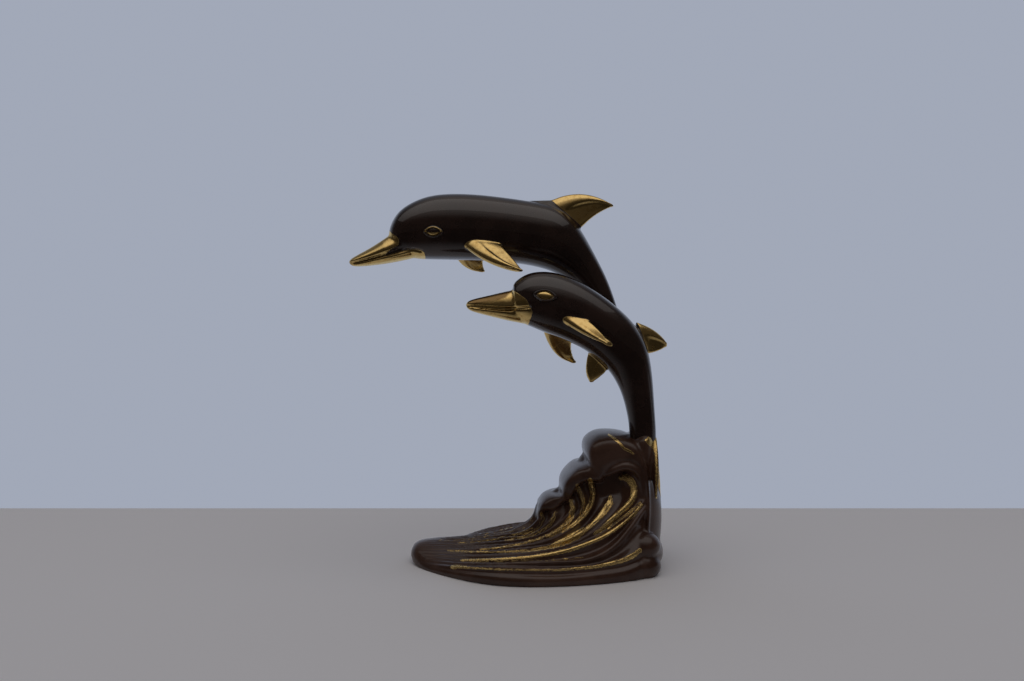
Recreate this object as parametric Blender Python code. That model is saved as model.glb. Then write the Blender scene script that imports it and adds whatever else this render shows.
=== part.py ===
# Dolphin figurine: a large and a small dolphin leaping side by side from a breaking wave.
# The figure is one brass casting, hollow under the base.
# +X is the tail side, -X the way the dolphins leap, -Y the side of the small dolphin, +Z up.
import math

import bmesh
import bpy
import numpy as np
from mathutils import Matrix, Vector

MM = 0.001

# Dolphin bodies: outlines in side view, as (x, z) from the head to the tail, in millimetres.
# Back and belly points with the same place in their lists lie across the body from each other.
LARGE_BACK = [(-72.0, 186.5), (-70.8, 192.9), (-66.2, 200.8), (-57.4, 207.0), (-44.0, 211.1),
              (-24.7, 212.0), (-5.3, 210.0), (12.4, 207.3), (25.5, 204.2), (34.8, 198.0),
              (42.5, 187.6), (49.6, 174.6), (56.8, 159.4), (63.8, 138.6), (70.9, 114.5),
              (76.5, 94.1), (79.4, 73.8), (79.6, 58.0)]
LARGE_BELLY = [(-72.0, 186.5), (-68.5, 178.3), (-62.7, 175.1), (-54.5, 173.8), (-42.3, 173.4),
               (-24.1, 173.0), (-7.7, 172.3), (5.5, 170.9), (14.6, 169.2), (21.6, 167.2),
               (28.2, 164.4), (35.8, 160.0), (44.4, 151.0), (52.2, 134.0), (59.2, 110.9),
               (66.0, 92.3), (70.2, 73.2), (71.0, 58.0)]
SMALL_BACK = [(0.2, 149.0), (0.6, 156.3), (3.4, 159.9), (8.9, 162.9), (17.2, 164.1),
              (26.9, 162.7), (37.7, 158.4), (48.8, 151.6), (59.0, 143.7), (67.4, 135.3),
              (73.3, 126.0), (76.3, 116.8), (77.9, 106.8), (78.8, 97.3), (79.5, 88.3),
              (80.2, 79.3), (80.5, 70.0), (80.0, 58.0)]
SMALL_BELLY = [(0.2, 149.0), (1.1, 139.6), (3.9, 136.9), (7.8, 134.9), (12.2, 133.0),
               (18.3, 130.5), (25.5, 127.9), (32.7, 124.9), (40.0, 121.0), (46.7, 116.2),
               (52.0, 111.2), (56.0, 106.2), (59.2, 100.6), (61.6, 94.8), (63.6, 87.7),
               (65.2, 79.3), (66.0, 70.0), (67.0, 58.0)]
# Beaks: top and bottom lines from the tip back into the head.
LARGE_BEAK_TOP = [(-95.2, 171.6), (-92.8, 174.2), (-84.5, 178.8), (-75.5, 184.4), (-66.0, 191.0)]
LARGE_BEAK_BOTTOM = [(-95.2, 171.6), (-92.3, 169.3), (-83.5, 169.5), (-70.0, 171.3), (-55.0, 174.5)]
SMALL_BEAK_TOP = [(-25.4, 145.7), (-23.2, 148.3), (-14.5, 150.6), (-4.5, 153.0), (6.0, 155.0)]
SMALL_BEAK_BOTTOM = [(-25.4, 145.7), (-23.0, 142.6), (-14.0, 139.9), (-3.0, 137.2), (9.0, 134.8)]

# Side to side placing of the two dolphins: y from the head to the tail, in millimetres
LARGE_SIDEWAYS = [10.5, 13.0, 14.5, 13.5, 9.0]
SMALL_SIDEWAYS = [-13.5, -13.5, -13.0, -11.0, -9.0]

# Sizes across the dolphins, in millimetres
LARGE_BODY_WIDTH = 34.0
SMALL_BODY_WIDTH = 28.5
LARGE_BEAK_WIDTH = 17.0
SMALL_BEAK_WIDTH = 15.0
MOUTH_DEPTH = 1.2
LARGE_EYE_LENGTH = 10.6
SMALL_EYE_LENGTH = 11.4

# Thickness of each kind of fin at its root and at its tip, and how much of it the dished side loses
LARGE_DORSAL_SECTION = (10.0, 4.2, 0.5)
SMALL_DORSAL_SECTION = (7.5, 3.6, 0.4)
NEAR_PECTORAL_SECTION = (6.0, 3.8, 0.12)
FAR_PECTORAL_SECTION = (5.0, 3.4, 0.2)
FLUKE_SECTION = (4.0, 2.4, 0.0)
FIN_TIP_HALF_WIDTH = 1.6
FLUKE_TIP_HALF_WIDTH = 1.2

# Fins: place along the body, angle round it, section, then the five points that shape the blade,
# as offsets in x, y and z from there: front root, middle of the front edge, tip,
# middle of the rear edge and rear root.
LARGE_FINS = {
    "large_dorsal": (0.51, 90.0, LARGE_DORSAL_SECTION,
                     [(-15.0, -2.0, 4.6), (7.3, -2.0, 11.2), (27.8, -2.0, 4.2),
                      (16.1, -2.0, -1.8), (6.2, -2.0, -11.5)]),
    "large_near_pectoral": (0.315, -33.0, NEAR_PECTORAL_SECTION,
                            [(-12.4, 3.6, 1.2), (4.7, -8.4, -11.7), (23.7, -15.9, -17.3),
                             (17.8, -8.4, -9.2), (9.2, 3.6, 2.1)]),
    "large_far_pectoral": (0.27, 216.0, FAR_PECTORAL_SECTION,
                           [(-0.4, -2.9, -2.1), (5.2, 3.1, -11.3), (15.2, 6.1, -13.3),
                            (14.4, 3.1, -7.9), (14.0, -2.9, -2.1)]),
}
SMALL_FINS = {
    "small_dorsal": (0.56, 84.0, SMALL_DORSAL_SECTION,
                     [(-2.7, 3.8, 6.2), (10.1, 7.8, 0.6), (16.9, 9.8, -7.3),
                      (11.2, 7.8, -10.4), (2.5, 4.8, -12.3)]),
    "small_near_pectoral": (0.36, -14.0, NEAR_PECTORAL_SECTION,
                            [(-5.7, 4.0, 0.7), (7.0, -2.0, -9.6), (22.3, -3.5, -15.7),
                             (13.9, -2.5, -6.2), (6.7, 4.0, 0.7)]),
    "small_far_pectoral": (0.30, 236.0, FAR_PECTORAL_SECTION,
                           [(-2.9, -2.5, 1.2), (5.0, 8.5, -14.2), (16.6, 12.5, -19.9),
                            (16.5, 8.5, -13.4), (13.9, -2.5, -5.0)]),
    "small_ventral": (0.55, -90.0, FAR_PECTORAL_SECTION,
                      [(-5.2, 2.7, 8.5), (-7.4, 3.7, -4.9), (-4.2, 4.7, -11.9),
                       (1.6, 3.7, -7.9), (7.7, 2.7, -1.6)]),
}
# Flukes lie on the back of the wave, in the same order of points but as places, not offsets.
# The other tail's pair mirrors this one.
FLUKES = {
    "outer_fluke": [(80.4, -6.0, 76.5), (80.2, -18.5, 61.0), (77.8, -24.0, 40.0),
                    (76.0, -16.5, 54.0), (72.5, -14.5, 69.0)],
    "inner_fluke": [(79.6, -9.0, 74.0), (81.6, -8.6, 54.0), (84.0, -3.8, 33.0),
                    (81.8, -1.0, 50.0), (79.6, -3.0, 70.0)],
}

# Wave: the foot of the near side in plan, as (x, y) from the nose round to the back.
WAVE_FOOT = [(-57.4, 0.0), (-51.0, -13.0), (-31.0, -33.0), (-6.0, -45.4), (22.0, -46.8),
             (46.0, -42.8), (61.0, -38.2), (70.0, -34.0), (78.0, -24.0)]
NOSE_HEIGHT = 4.5
# The first arch across the nose
NOSE_ARCH_X = -52.2
NOSE_ARCH_HALF_WIDTH = 13.2
NOSE_ARCH_HEIGHT = 11.5
WALL = 4.0
FLUTE_DEPTH = 1.3
# The foot stays plain: flutes start on the first ridge above it and are full on the second.
FLUTES_START = 1.0
FLUTES_FULL = 2.0
FLUTE_SPACING = 5.0

# Wave ridges on the near side from the lowest, which is the rounded foot, to the top one.
# Each runs from the nose to its end under the crest, as (x, y, z) in millimetres.
WAVE_RIDGES = [
    [(-30.6, -33.4, 2.8), (-6.2, -46.2, 3.6), (22.0, -47.6, 3.6), (46.0, -43.4, 4.0),
     (61.0, -38.8, 5.0), (70.0, -34.4, 6.5), (78.0, -24.0, 7.0)],
    [(-29.2, -31.5, 5.7), (-6.2, -43.0, 8.6), (22.1, -44.0, 8.1), (43.6, -40.5, 8.9),
     (58.3, -36.0, 11.0), (67.9, -31.5, 14.5), (76.2, -21.0, 14.3)],
    [(-27.8, -28.4, 6.9), (-5.2, -40.0, 9.7), (21.3, -41.0, 10.6), (40.8, -37.5, 11.4),
     (56.2, -32.0, 18.6), (67.8, -26.0, 31.2), (74.7, -17.0, 38.5)],
    [(-27.5, -25.2, 7.6), (-4.7, -35.5, 10.8), (19.9, -36.5, 13.7), (39.7, -33.0, 18.6),
     (54.5, -28.6, 24.3), (69.2, -23.5, 36.1), (75.1, -15.0, 43.6)],
    [(-27.8, -21.0, 8.5), (-4.8, -29.5, 11.2), (19.1, -31.5, 14.5), (38.9, -29.5, 20.6),
     (56.6, -25.0, 32.1), (66.9, -19.5, 43.4), (61.5, -13.0, 50.9)],
    [(-28.0, -17.0, 9.4), (-4.9, -24.0, 11.8), (17.7, -27.0, 15.4), (32.2, -26.5, 19.8),
     (43.4, -22.5, 26.1), (51.0, -18.0, 33.7), (55.5, -12.5, 39.7)],
    [(-28.2, -13.4, 10.4), (-4.9, -19.3, 12.6), (15.7, -23.0, 16.2), (29.2, -23.0, 21.9),
     (38.7, -20.0, 29.0), (44.8, -17.0, 39.6), (43.1, -12.0, 49.1)],
    [(-28.4, -11.0, 11.0), (-5.0, -16.2, 13.2), (13.1, -20.5, 16.9), (25.6, -20.8, 22.4),
     (34.5, -18.6, 28.7), (39.6, -16.0, 37.2), (36.2, -11.5, 46.2)],
    [(-28.6, -8.2, 11.8), (-5.0, -12.4, 14.0), (10.4, -17.5, 17.3), (21.3, -18.5, 22.1),
     (29.1, -17.0, 28.0), (33.7, -15.0, 34.2), (32.6, -10.5, 39.9)],
    [(-28.8, -5.2, 12.6), (-5.0, -8.4, 14.8), (6.7, -13.0, 16.8), (15.5, -14.6, 20.6),
     (20.5, -14.0, 25.1), (23.3, -12.5, 29.2), (25.2, -8.5, 34.4)],
    [(-28.9, -2.5, 13.1), (-5.1, -4.2, 15.4), (3.9, -7.6, 17.1), (10.6, -9.4, 20.6),
     (15.1, -10.0, 25.3), (16.8, -9.0, 29.2), (16.9, -6.5, 34.0)],
    [(-29.0, 0.0, 13.4), (-5.1, 0.0, 15.8), (2.0, 0.0, 17.6), (7.8, 0.0, 20.2),
     (11.8, 0.0, 24.0), (14.0, 0.0, 29.0), (18.0, 0.0, 34.0)],
]
# Inside the crest the ridges draw together toward this point.
WAVE_HEART = (56.0, 0.0, 30.0)

# Crest: the scalloped outer line from the low lobe over the top and down the rim of the face,
# the inner line over the hollows that the ridges run into, and its half width, in millimetres
CREST_OUTER = [(13.4, 25.2), (14.0, 30.9), (16.0, 36.0), (19.4, 38.9), (23.4, 39.8), (26.7, 40.6),
               (27.1, 45.2), (28.6, 49.7), (32.0, 53.7), (36.5, 56.9), (41.1, 58.7), (40.5, 63.4),
               (40.8, 68.6), (43.4, 72.1), (48.5, 74.7), (56.0, 75.2), (62.8, 74.3), (68.7, 71.6),
               (72.5, 66.3), (74.5, 59.5), (75.8, 50.0), (76.5, 39.3), (76.4, 29.6), (75.4, 20.1),
               (74.0, 11.8)]
CREST_INNER = [(16.3, 25.3), (18.5, 29.3), (21.3, 30.4), (25.2, 30.4), (28.6, 34.9), (31.4, 36.8),
               (34.2, 38.8), (36.5, 43.3), (39.8, 46.7), (44.3, 47.8), (48.8, 46.7), (51.6, 47.8),
               (52.7, 50.6), (54.4, 52.5), (56.6, 54.0), (59.4, 54.8), (62.3, 55.1), (65.0, 55.2),
               (67.9, 53.8), (70.1, 50.2), (71.2, 45.1), (71.6, 38.2), (71.2, 29.6), (70.0, 20.1),
               (68.1, 10.8)]
CREST_HALF_WIDTH = [8.0, 11.5, 13.5, 14.0, 14.5, 15.5, 17.5, 19.0, 20.0, 20.0, 19.5, 20.0,
                    20.5, 21.0, 21.0, 21.0, 21.0, 21.5, 22.0, 22.8, 23.4, 24.0, 24.6, 25.8, 28.0]
CREST_FULLNESS = 0.72
# The back of the wave, between its rear and its front
BACK_REAR = [(79.0, 78.0), (80.4, 70.0), (81.2, 60.0), (81.6, 48.0), (84.2, 38.0),
             (85.0, 29.0), (84.6, 18.0), (82.0, -3.0)]
BACK_FRONT = [(68.0, 76.0), (64.5, 68.0), (62.0, 58.0), (60.0, 48.0), (57.0, 38.0),
              (54.0, 29.0), (51.0, 18.0), (48.0, -3.0)]
BACK_HALF_WIDTH = [17.0, 19.0, 20.0, 20.5, 21.0, 21.5, 23.0, 25.0]
# Rounded masses inside and behind it, each with its centre and half sizes in millimetres
MASSES = {
    "core": ((56.0, 0.0, 34.0), (24.5, 14.5, 36.0)),
    "core_front": ((34.0, 0.0, 25.0), (18.0, 10.5, 19.0)),
    "rear_roll": ((73.0, 0.0, 9.0), (12.0, 31.0, 10.5)),
}
# Behind the face on each side, a roll over the end of the foot and the foot's own rounded end
KNOBS = {
    "upper_knob": ((71.6, -24.0, 15.4), (8.6, 9.4, 7.4)),
    "lower_knob": ((69.4, -24.5, 5.0), (11.0, 10.5, 8.6)),
}
# The rolled lip over the topmost hollow of the face, on the near side, as (x, y, z), and its radius
LIP = [(49.6, -15.5, 50.2), (52.8, -18.0, 53.2), (56.6, -19.0, 55.7), (61.6, -19.4, 57.4),
       (66.6, -19.6, 56.2), (69.9, -20.0, 52.6), (71.2, -20.6, 46.5), (71.4, -21.2, 38.0)]
LIP_RADIUS = 2.3

# Hollow under the base: how far in from the foot, beyond the wall, it has drawn at each height
HOLLOW_STEPS = [(-1.0, 0.0), (2.5, 0.5), (5.0, 5.0), (7.2, 13.0), (7.6, 22.0)]
HOLLOW_MIDDLE = (16.0, 0.0)
HOLLOW_REAR = (82.0, 0.0)
HOLLOW_POINTS = 16
# The slanted ends of the foot need more than the wall when measured toward the middle.
HOLLOW_SLANT = 0.55
GROUND_CUTTER = (400.0, 400.0, 30.0)

# Facets round and along each form
BODY_SIDES = 18
BODY_RINGS = 24
BEAK_SIDES = 16
BEAK_RINGS = 8
FIN_SIDES = 8
FIN_RINGS = 7
LIP_SIDES = 8
LIP_RINGS = 14
FACETS_PER_RIDGE = 4
WAVE_RINGS = 22
CREST_SIDES = 14
CREST_RINGS = 40
BACK_RINGS = 10
BALL_SIDES = 18
BALL_RINGS = 10
KNOB_SIDES = 14
KNOB_RINGS = 9
EYE_SIDES = 10
EYE_RINGS = 5

ENAMEL = (0.11, 0.075, 0.055, 1.0)


def smooth_track(points):
    """Natural cubic spline through the points, as a function of 0 at the first to 1 at the last."""
    p = np.array(points, float).reshape(len(points), -1)
    last = len(p) - 1
    matrix = np.eye(last + 1)
    target = np.zeros_like(p)
    for i in range(1, last):
        matrix[i, i - 1:i + 2] = (1, 4, 1)
        target[i] = 6 * (p[i + 1] - 2 * p[i] + p[i - 1])
    bend = np.linalg.solve(matrix, target)

    def at(t):
        s = min(max(t, 0.0), 1.0) * last
        i = min(int(s), last - 1)
        f = s - i
        g = 1 - f
        return g * p[i] + f * p[i + 1] + ((g ** 3 - g) * bend[i] + (f ** 3 - f) * bend[i + 1]) / 6

    return at


def ease(low, high, value):
    """0 below low, 1 above high and a smooth step between."""
    s = min(max((value - low) / (high - low), 0.0), 1.0)
    return s * s * (3 - 2 * s)


def new_object(name, bm, collection):
    """An object in the collection from a bmesh in millimetres."""
    bmesh.ops.recalc_face_normals(bm, faces=bm.faces)
    bmesh.ops.scale(bm, vec=(MM, MM, MM), verts=bm.verts)
    mesh = bpy.data.meshes.new(name)
    bm.to_mesh(mesh)
    bm.free()
    obj = bpy.data.objects.new(name, mesh)
    collection.objects.link(obj)
    return obj


def loft(name, rings, start, end, collection):
    """A closed skin over a row of rings, drawn together to a point at each end."""
    bm = bmesh.new()
    rows = [[bm.verts.new(point) for point in ring] for ring in rings]
    sides = len(rows[0])
    for row, following in zip(rows, rows[1:]):
        for i in range(sides):
            j = (i + 1) % sides
            bm.faces.new((row[i], row[j], following[j], following[i]))
    for row, point in ((rows[0], start), (rows[-1], end)):
        tip = bm.verts.new(point)
        for i in range(sides):
            bm.faces.new((row[i], row[(i + 1) % sides], tip))
    return new_object(name, bm, collection)


def form_between(upper, lower, sideways, half_widths, fullness=1.0):
    """A surface between two lines, as a function of place along it, angle round it and scale.

    The angle is 0 on the near flank, 90 on the upper line, 180 on the far flank and -90 on the
    lower line. A fullness under 1 makes the sections squarer.
    """
    upper_at, lower_at = smooth_track(upper), smooth_track(lower)
    y_at, half_width_at = smooth_track(sideways), smooth_track(half_widths)

    def full(value):
        return math.copysign(abs(value) ** fullness, value)

    def at(t, degrees, scale=1.0):
        top, bottom = upper_at(t), lower_at(t)
        middle, half = (top + bottom) / 2, (top - bottom) / 2
        angle = math.radians(degrees)
        up = half * full(math.sin(angle)) * scale
        out = half_width_at(t)[0] * full(math.cos(angle)) * scale
        return Vector((middle[0] + up[0], y_at(t)[0] - out, middle[1] + up[1]))

    return at


def girth(upper, lower, width):
    """Half widths in step with the height of a form, whose widest place has this width."""
    heights = [math.dist(a, b) for a, b in zip(upper, lower)]
    return [width / 2 * height / max(heights) for height in heights]


def skin(name, surface, rings, sides, collection):
    """The form from end to end."""
    rows = []
    for k in range(1, rings):
        rows.append([surface(k / rings, 360 * i / sides) for i in range(sides)])
    return loft(name, rows, surface(0, 0, 0), surface(1, 0, 0), collection)


def beak(name, top, bottom, y, width, collection):
    """A flattened cone between two lines, nicked along the mouth on both sides."""
    top_at, bottom_at = smooth_track(top), smooth_track(bottom)
    deepest = math.dist(top[-2], bottom[-2])
    rings = []
    for k in range(1, BEAK_RINGS + 1):
        t = (k / BEAK_RINGS) ** 1.5
        high, low = top_at(t), bottom_at(t)
        middle, half = (high + low) / 2, (high - low) / 2
        half_width = width / 2 * min(1.0, (np.hypot(*half) * 2 / deepest) ** 0.8)
        ring = []
        for i in range(BEAK_SIDES):
            angle = 2 * math.pi * i / BEAK_SIDES
            nick = min(MOUTH_DEPTH, 0.25 * half_width) if i in (0, BEAK_SIDES // 2) else 0.0
            out = (half_width - nick) * math.cos(angle)
            lift = half * math.sin(angle)
            ring.append(Vector((middle[0] + lift[0], y - out, middle[1] + lift[1])))
        rings.append(ring)
    tip = Vector((top[0][0], y, top[0][1]))
    inside = sum(rings[-1], Vector()) / BEAK_SIDES
    return loft(name, rings, tip, inside, collection)


def blade(name, points, section, tip_half_width, collection):
    """A fin with a rounded front edge, dished sides and a blunt tip, through five points.

    They are the front root, the front edge, the tip, the rear edge and the rear root.
    """
    front, crest, tip, hollow, back = [Vector(p) for p in points]
    root_thickness, tip_thickness, dish = section
    round_from = 0.86
    straight_to = 0.92

    def edge(root, middle, s):
        handle = middle * 2 - (root + tip) / 2
        return root * (1 - s) ** 2 + handle * (2 * s * (1 - s)) + tip * s ** 2

    rings = []
    for k in range(FIN_RINGS):
        s = math.sin(0.5 * math.pi * k / FIN_RINGS)
        end = math.sqrt(1 - (max(0.0, s - round_from) / (1 - round_from)) ** 2)
        lead, trail = edge(front, crest, s), edge(back, hollow, s)
        held = min(s, straight_to)
        held_lead, held_trail = edge(front, crest, held), edge(back, hollow, held)
        across = held_lead - held_trail
        flat = across.cross(tip - (held_lead + held_trail) / 2).normalized()
        across.normalize()
        half_chord = max((lead - trail).length / 2, tip_half_width) * end
        thickness = root_thickness + (tip_thickness - root_thickness) * min(1.0, s * 1.15)
        ring = []
        for i in range(FIN_SIDES):
            angle = 2 * math.pi * i / FIN_SIDES
            toward = math.cos(angle)
            sunk = 1 - ease(0.2, 0.55, toward)
            sunk *= ease(0.0, 0.35, s) * ease(-0.98, -0.7, toward)
            taper = 0.62 + 0.38 * ease(-0.9, 0.7, toward)
            rise = thickness / 2 * end * math.sin(angle) * (1 - dish * sunk) * taper
            ring.append((lead + trail) / 2 + across * (half_chord * toward) + flat * rise)
        rings.append(ring)
    return loft(name, rings, (front + back) / 2, tip, collection)


def roll(name, points, radius, collection):
    """A round roll along the points, drawn to nothing at both ends."""
    track = smooth_track(points)
    rings = []
    for k in range(1, LIP_RINGS):
        t = k / LIP_RINGS
        before, after = track(t - 0.5 / LIP_RINGS), track(t + 0.5 / LIP_RINGS)
        run = Vector(after - before).normalized()
        aside = run.cross(Vector((0, 1, 0))).normalized()
        outward = run.cross(aside)
        size = radius * math.sqrt(math.sin(math.pi * t))
        ring = []
        for i in range(LIP_SIDES):
            angle = 2 * math.pi * i / LIP_SIDES
            ring.append(Vector(track(t)) + (aside * math.cos(angle) + outward * math.sin(angle)) * size)
        rings.append(ring)
    return loft(name, rings, Vector(track(0)), Vector(track(1)), collection)


def ball(name, centre, half_sizes, collection, sides=BALL_SIDES, rings=BALL_RINGS):
    """A ball stretched to three half sizes."""
    bm = bmesh.new()
    bmesh.ops.create_uvsphere(bm, u_segments=sides, v_segments=rings, radius=1.0)
    bmesh.ops.scale(bm, vec=half_sizes, verts=bm.verts)
    bmesh.ops.translate(bm, vec=centre, verts=bm.verts)
    return new_object(name, bm, collection)


def eyes(name, surface, t, degrees, length, collection):
    """A lid and an eyeball on each flank, half sunk in the body."""
    for side, angle in (("near", degrees), ("far", 180 - degrees)):
        for part, size, scale in (("lid", 1.0, 0.98), ("eyeball", 0.72, 1.0)):
            half = (length * 0.5 * size, length * 0.16, length * 0.29 * size)
            seat = surface(t, angle, scale)
            ball(f"{name}_{side}_{part}", seat, half, collection, EYE_SIDES, EYE_RINGS)


def wave(name, collection):
    """The fluted wave: ridges fan out from the nose, over the low front and up the face."""
    foot = [(x, y, 0.0) for x, y in WAVE_FOOT[2:]]
    lines = [foot] + WAVE_RIDGES
    ridges = len(lines) - 1
    nose = np.array((WAVE_FOOT[0][0], 0.0, NOSE_HEIGHT))
    heart = np.array(WAVE_HEART)
    tracks = []
    for r, line in enumerate(lines):
        turn = math.pi / 2 * r / ridges
        start = (NOSE_ARCH_X, -NOSE_ARCH_HALF_WIDTH * math.cos(turn), NOSE_ARCH_HEIGHT * math.sin(turn))
        tucked = np.array(line[-1]) * 0.6 + heart * 0.4
        tracks.append(smooth_track([nose, start] + line + [tucked]))
    columns = ridges * FACETS_PER_RIDGE
    half_ridge = FACETS_PER_RIDGE // 2
    grid = []
    for k in range(1, WAVE_RINGS + 1):
        across = smooth_track([track(k / WAVE_RINGS) for track in tracks])
        grid.append(np.array([across(c / columns) for c in range(columns + 1)]))
    rings = []
    for k, row in enumerate(grid):
        before = grid[max(k - 1, 0)]
        after = grid[min(k + 1, WAVE_RINGS - 1)]
        fade = ease(0.18, 0.46, (k + 1) / WAVE_RINGS)
        near = []
        for c in range(columns + 1):
            flow = after[c] - before[c]
            left, right = row[max(c - half_ridge, 0)], row[min(c + half_ridge, columns)]
            normal = np.cross(right - left, flow)
            normal = normal / max(np.linalg.norm(normal), 1e-9)
            room = min(1.0, np.linalg.norm(right - left) / FLUTE_SPACING)
            ridge = c / FACETS_PER_RIDGE
            swell = math.cos(2 * math.pi * ridge) * ease(FLUTES_START, FLUTES_FULL, ridge)
            near.append(row[c] - normal * swell * room * fade * FLUTE_DEPTH)
        near[-1][1] = 0.0
        far = [np.array((p[0], -p[1], p[2])) for p in near[-2::-1]]
        rings.append([Vector(p) for p in near + far])
    return loft(name, rings, Vector(nose), Vector(heart), collection)


def hollow(name, collection):
    """The hollow under the base: the foot's outline drawn inward step by step."""
    outline = smooth_track(WAVE_FOOT + [HOLLOW_REAR])
    near = [outline(i / HOLLOW_POINTS) for i in range(HOLLOW_POINTS + 1)]
    plan = near + [np.array((p[0], -p[1])) for p in near[-2:0:-1]]
    centre = np.array(HOLLOW_MIDDLE)
    rings = []
    for height, drawn in HOLLOW_STEPS:
        ring = []
        for p in plan:
            away = p - centre
            reach = np.linalg.norm(away)
            inset = (WALL + drawn) * (1 + HOLLOW_SLANT * (away[0] / reach) ** 2)
            q = centre + away * (1 - inset / reach)
            ring.append(Vector((q[0], q[1], height)))
        rings.append(ring)
    middle = sum(rings[-1], Vector()) / len(plan)
    return loft(name, rings, sum(rings[0], Vector()) / len(plan), middle, collection)


def centre_origin(solids, others):
    """Moves everything so that the origin is under the middle of the solids."""
    points = np.array([vert.co for obj in solids for vert in obj.data.vertices])
    low, high = points.min(axis=0), points.max(axis=0)
    shift = Vector((-(low[0] + high[0]) / 2, -(low[1] + high[1]) / 2, 0.0))
    for obj in [*solids, *others]:
        obj.data.transform(Matrix.Translation(shift))


def finish(name, colour, gloss):
    """A plain material with a name, a colour and how smooth it is."""
    material = bpy.data.materials.new(name)
    material.use_nodes = True
    shader = material.node_tree.nodes["Principled BSDF"]
    shader.inputs["Base Color"].default_value = colour
    shader.inputs["Metallic"].default_value = 1.0
    shader.inputs["Roughness"].default_value = gloss
    return material


def main():
    for obj in list(bpy.data.objects):
        bpy.data.objects.remove(obj)
    figure = bpy.data.collections.new("dolphin_figurine")
    forms = bpy.data.collections.new("forms")
    cutters = bpy.data.collections.new("cutters")
    for collection in (figure, forms, cutters):
        bpy.context.scene.collection.children.link(collection)
    forms.hide_render = True
    cutters.hide_render = True

    large = form_between(LARGE_BACK, LARGE_BELLY, LARGE_SIDEWAYS,
                         girth(LARGE_BACK, LARGE_BELLY, LARGE_BODY_WIDTH))
    small = form_between(SMALL_BACK, SMALL_BELLY, SMALL_SIDEWAYS,
                         girth(SMALL_BACK, SMALL_BELLY, SMALL_BODY_WIDTH))
    skin("large_body", large, BODY_RINGS, BODY_SIDES, forms)
    skin("small_body", small, BODY_RINGS, BODY_SIDES, forms)
    beak("large_beak", LARGE_BEAK_TOP, LARGE_BEAK_BOTTOM, LARGE_SIDEWAYS[0], LARGE_BEAK_WIDTH, forms)
    beak("small_beak", SMALL_BEAK_TOP, SMALL_BEAK_BOTTOM, SMALL_SIDEWAYS[0], SMALL_BEAK_WIDTH, forms)
    for surface, fins in ((large, LARGE_FINS), (small, SMALL_FINS)):
        for name, (t, degrees, section, offsets) in fins.items():
            seat = surface(t, degrees)
            points = [seat + Vector(offset) for offset in offsets]
            blade(name, points, section, FIN_TIP_HALF_WIDTH, forms)
    eyes("large", large, 0.228, -15.0, LARGE_EYE_LENGTH, forms)
    eyes("small", small, 0.255, 8.0, SMALL_EYE_LENGTH, forms)

    back = form_between(BACK_REAR, BACK_FRONT, [0.0, 0.0], BACK_HALF_WIDTH)
    skin("wave_back", back, BACK_RINGS, CREST_SIDES, forms)
    crest = form_between(CREST_OUTER, CREST_INNER, [0.0, 0.0], CREST_HALF_WIDTH, CREST_FULLNESS)
    skin("crest", crest, CREST_RINGS, CREST_SIDES, forms)
    for name, (centre, half_sizes) in MASSES.items():
        ball(name, centre, half_sizes, forms)
    for side in (1, -1):
        for name, ((x, y, z), half_sizes) in KNOBS.items():
            ball(f"{name}_{side}", (x, y * side, z), half_sizes, forms, KNOB_SIDES, KNOB_RINGS)
        roll(f"lip_{side}", [(x, y * side, z) for x, y, z in LIP], LIP_RADIUS, forms)
        for name, points in FLUKES.items():
            points = [(x, y * side, z) for x, y, z in points]
            blade(f"{name}_{side}", points, FLUKE_SECTION, FLUKE_TIP_HALF_WIDTH, forms)

    hollow("base_hollow", cutters)
    bm = bmesh.new()
    bmesh.ops.create_cube(bm, size=1.0)
    bmesh.ops.scale(bm, vec=GROUND_CUTTER, verts=bm.verts)
    bmesh.ops.translate(bm, vec=(0.0, 0.0, -GROUND_CUTTER[2] / 2), verts=bm.verts)
    new_object("ground", bm, cutters)

    whole = wave("dolphin_figurine", figure)
    centre_origin([whole, *forms.objects], cutters.objects)
    for helper in [*forms.objects, *cutters.objects]:
        helper.display_type = "WIRE"
    for title, operation, collection in (("Join", "UNION", forms), ("Hollow", "DIFFERENCE", cutters)):
        modifier = whole.modifiers.new(title, "BOOLEAN")
        modifier.operation = operation
        modifier.operand_type = "COLLECTION"
        modifier.collection = collection
        modifier.solver = "EXACT"
    whole.data.materials.append(finish("bronzed_brass", ENAMEL, 0.25))
    whole.data.set_sharp_from_angle(angle=math.radians(40))


main()
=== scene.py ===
import math

import bmesh
import bpy
import numpy as np
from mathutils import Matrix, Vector
from mathutils.bvhtree import BVHTree


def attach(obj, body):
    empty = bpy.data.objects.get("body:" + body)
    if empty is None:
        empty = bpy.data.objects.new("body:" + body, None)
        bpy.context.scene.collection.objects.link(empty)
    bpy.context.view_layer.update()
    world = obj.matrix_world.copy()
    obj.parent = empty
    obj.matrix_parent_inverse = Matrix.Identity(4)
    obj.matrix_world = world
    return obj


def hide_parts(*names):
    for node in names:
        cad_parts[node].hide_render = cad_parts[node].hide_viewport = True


# Two dolphins leaping out of a breaking wave, one casting in gloss brown enamel with gilded parts.
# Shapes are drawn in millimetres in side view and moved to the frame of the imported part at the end.

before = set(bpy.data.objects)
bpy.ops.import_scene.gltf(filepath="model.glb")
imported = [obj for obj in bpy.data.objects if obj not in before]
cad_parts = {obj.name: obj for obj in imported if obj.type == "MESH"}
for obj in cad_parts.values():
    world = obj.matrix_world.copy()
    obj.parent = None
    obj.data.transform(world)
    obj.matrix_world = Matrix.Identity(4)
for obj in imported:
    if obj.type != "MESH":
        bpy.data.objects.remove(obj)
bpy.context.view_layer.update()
print("frame loaded")

mm = 0.001
originShift = 3.745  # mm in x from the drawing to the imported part, whose origin is under its middle

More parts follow.
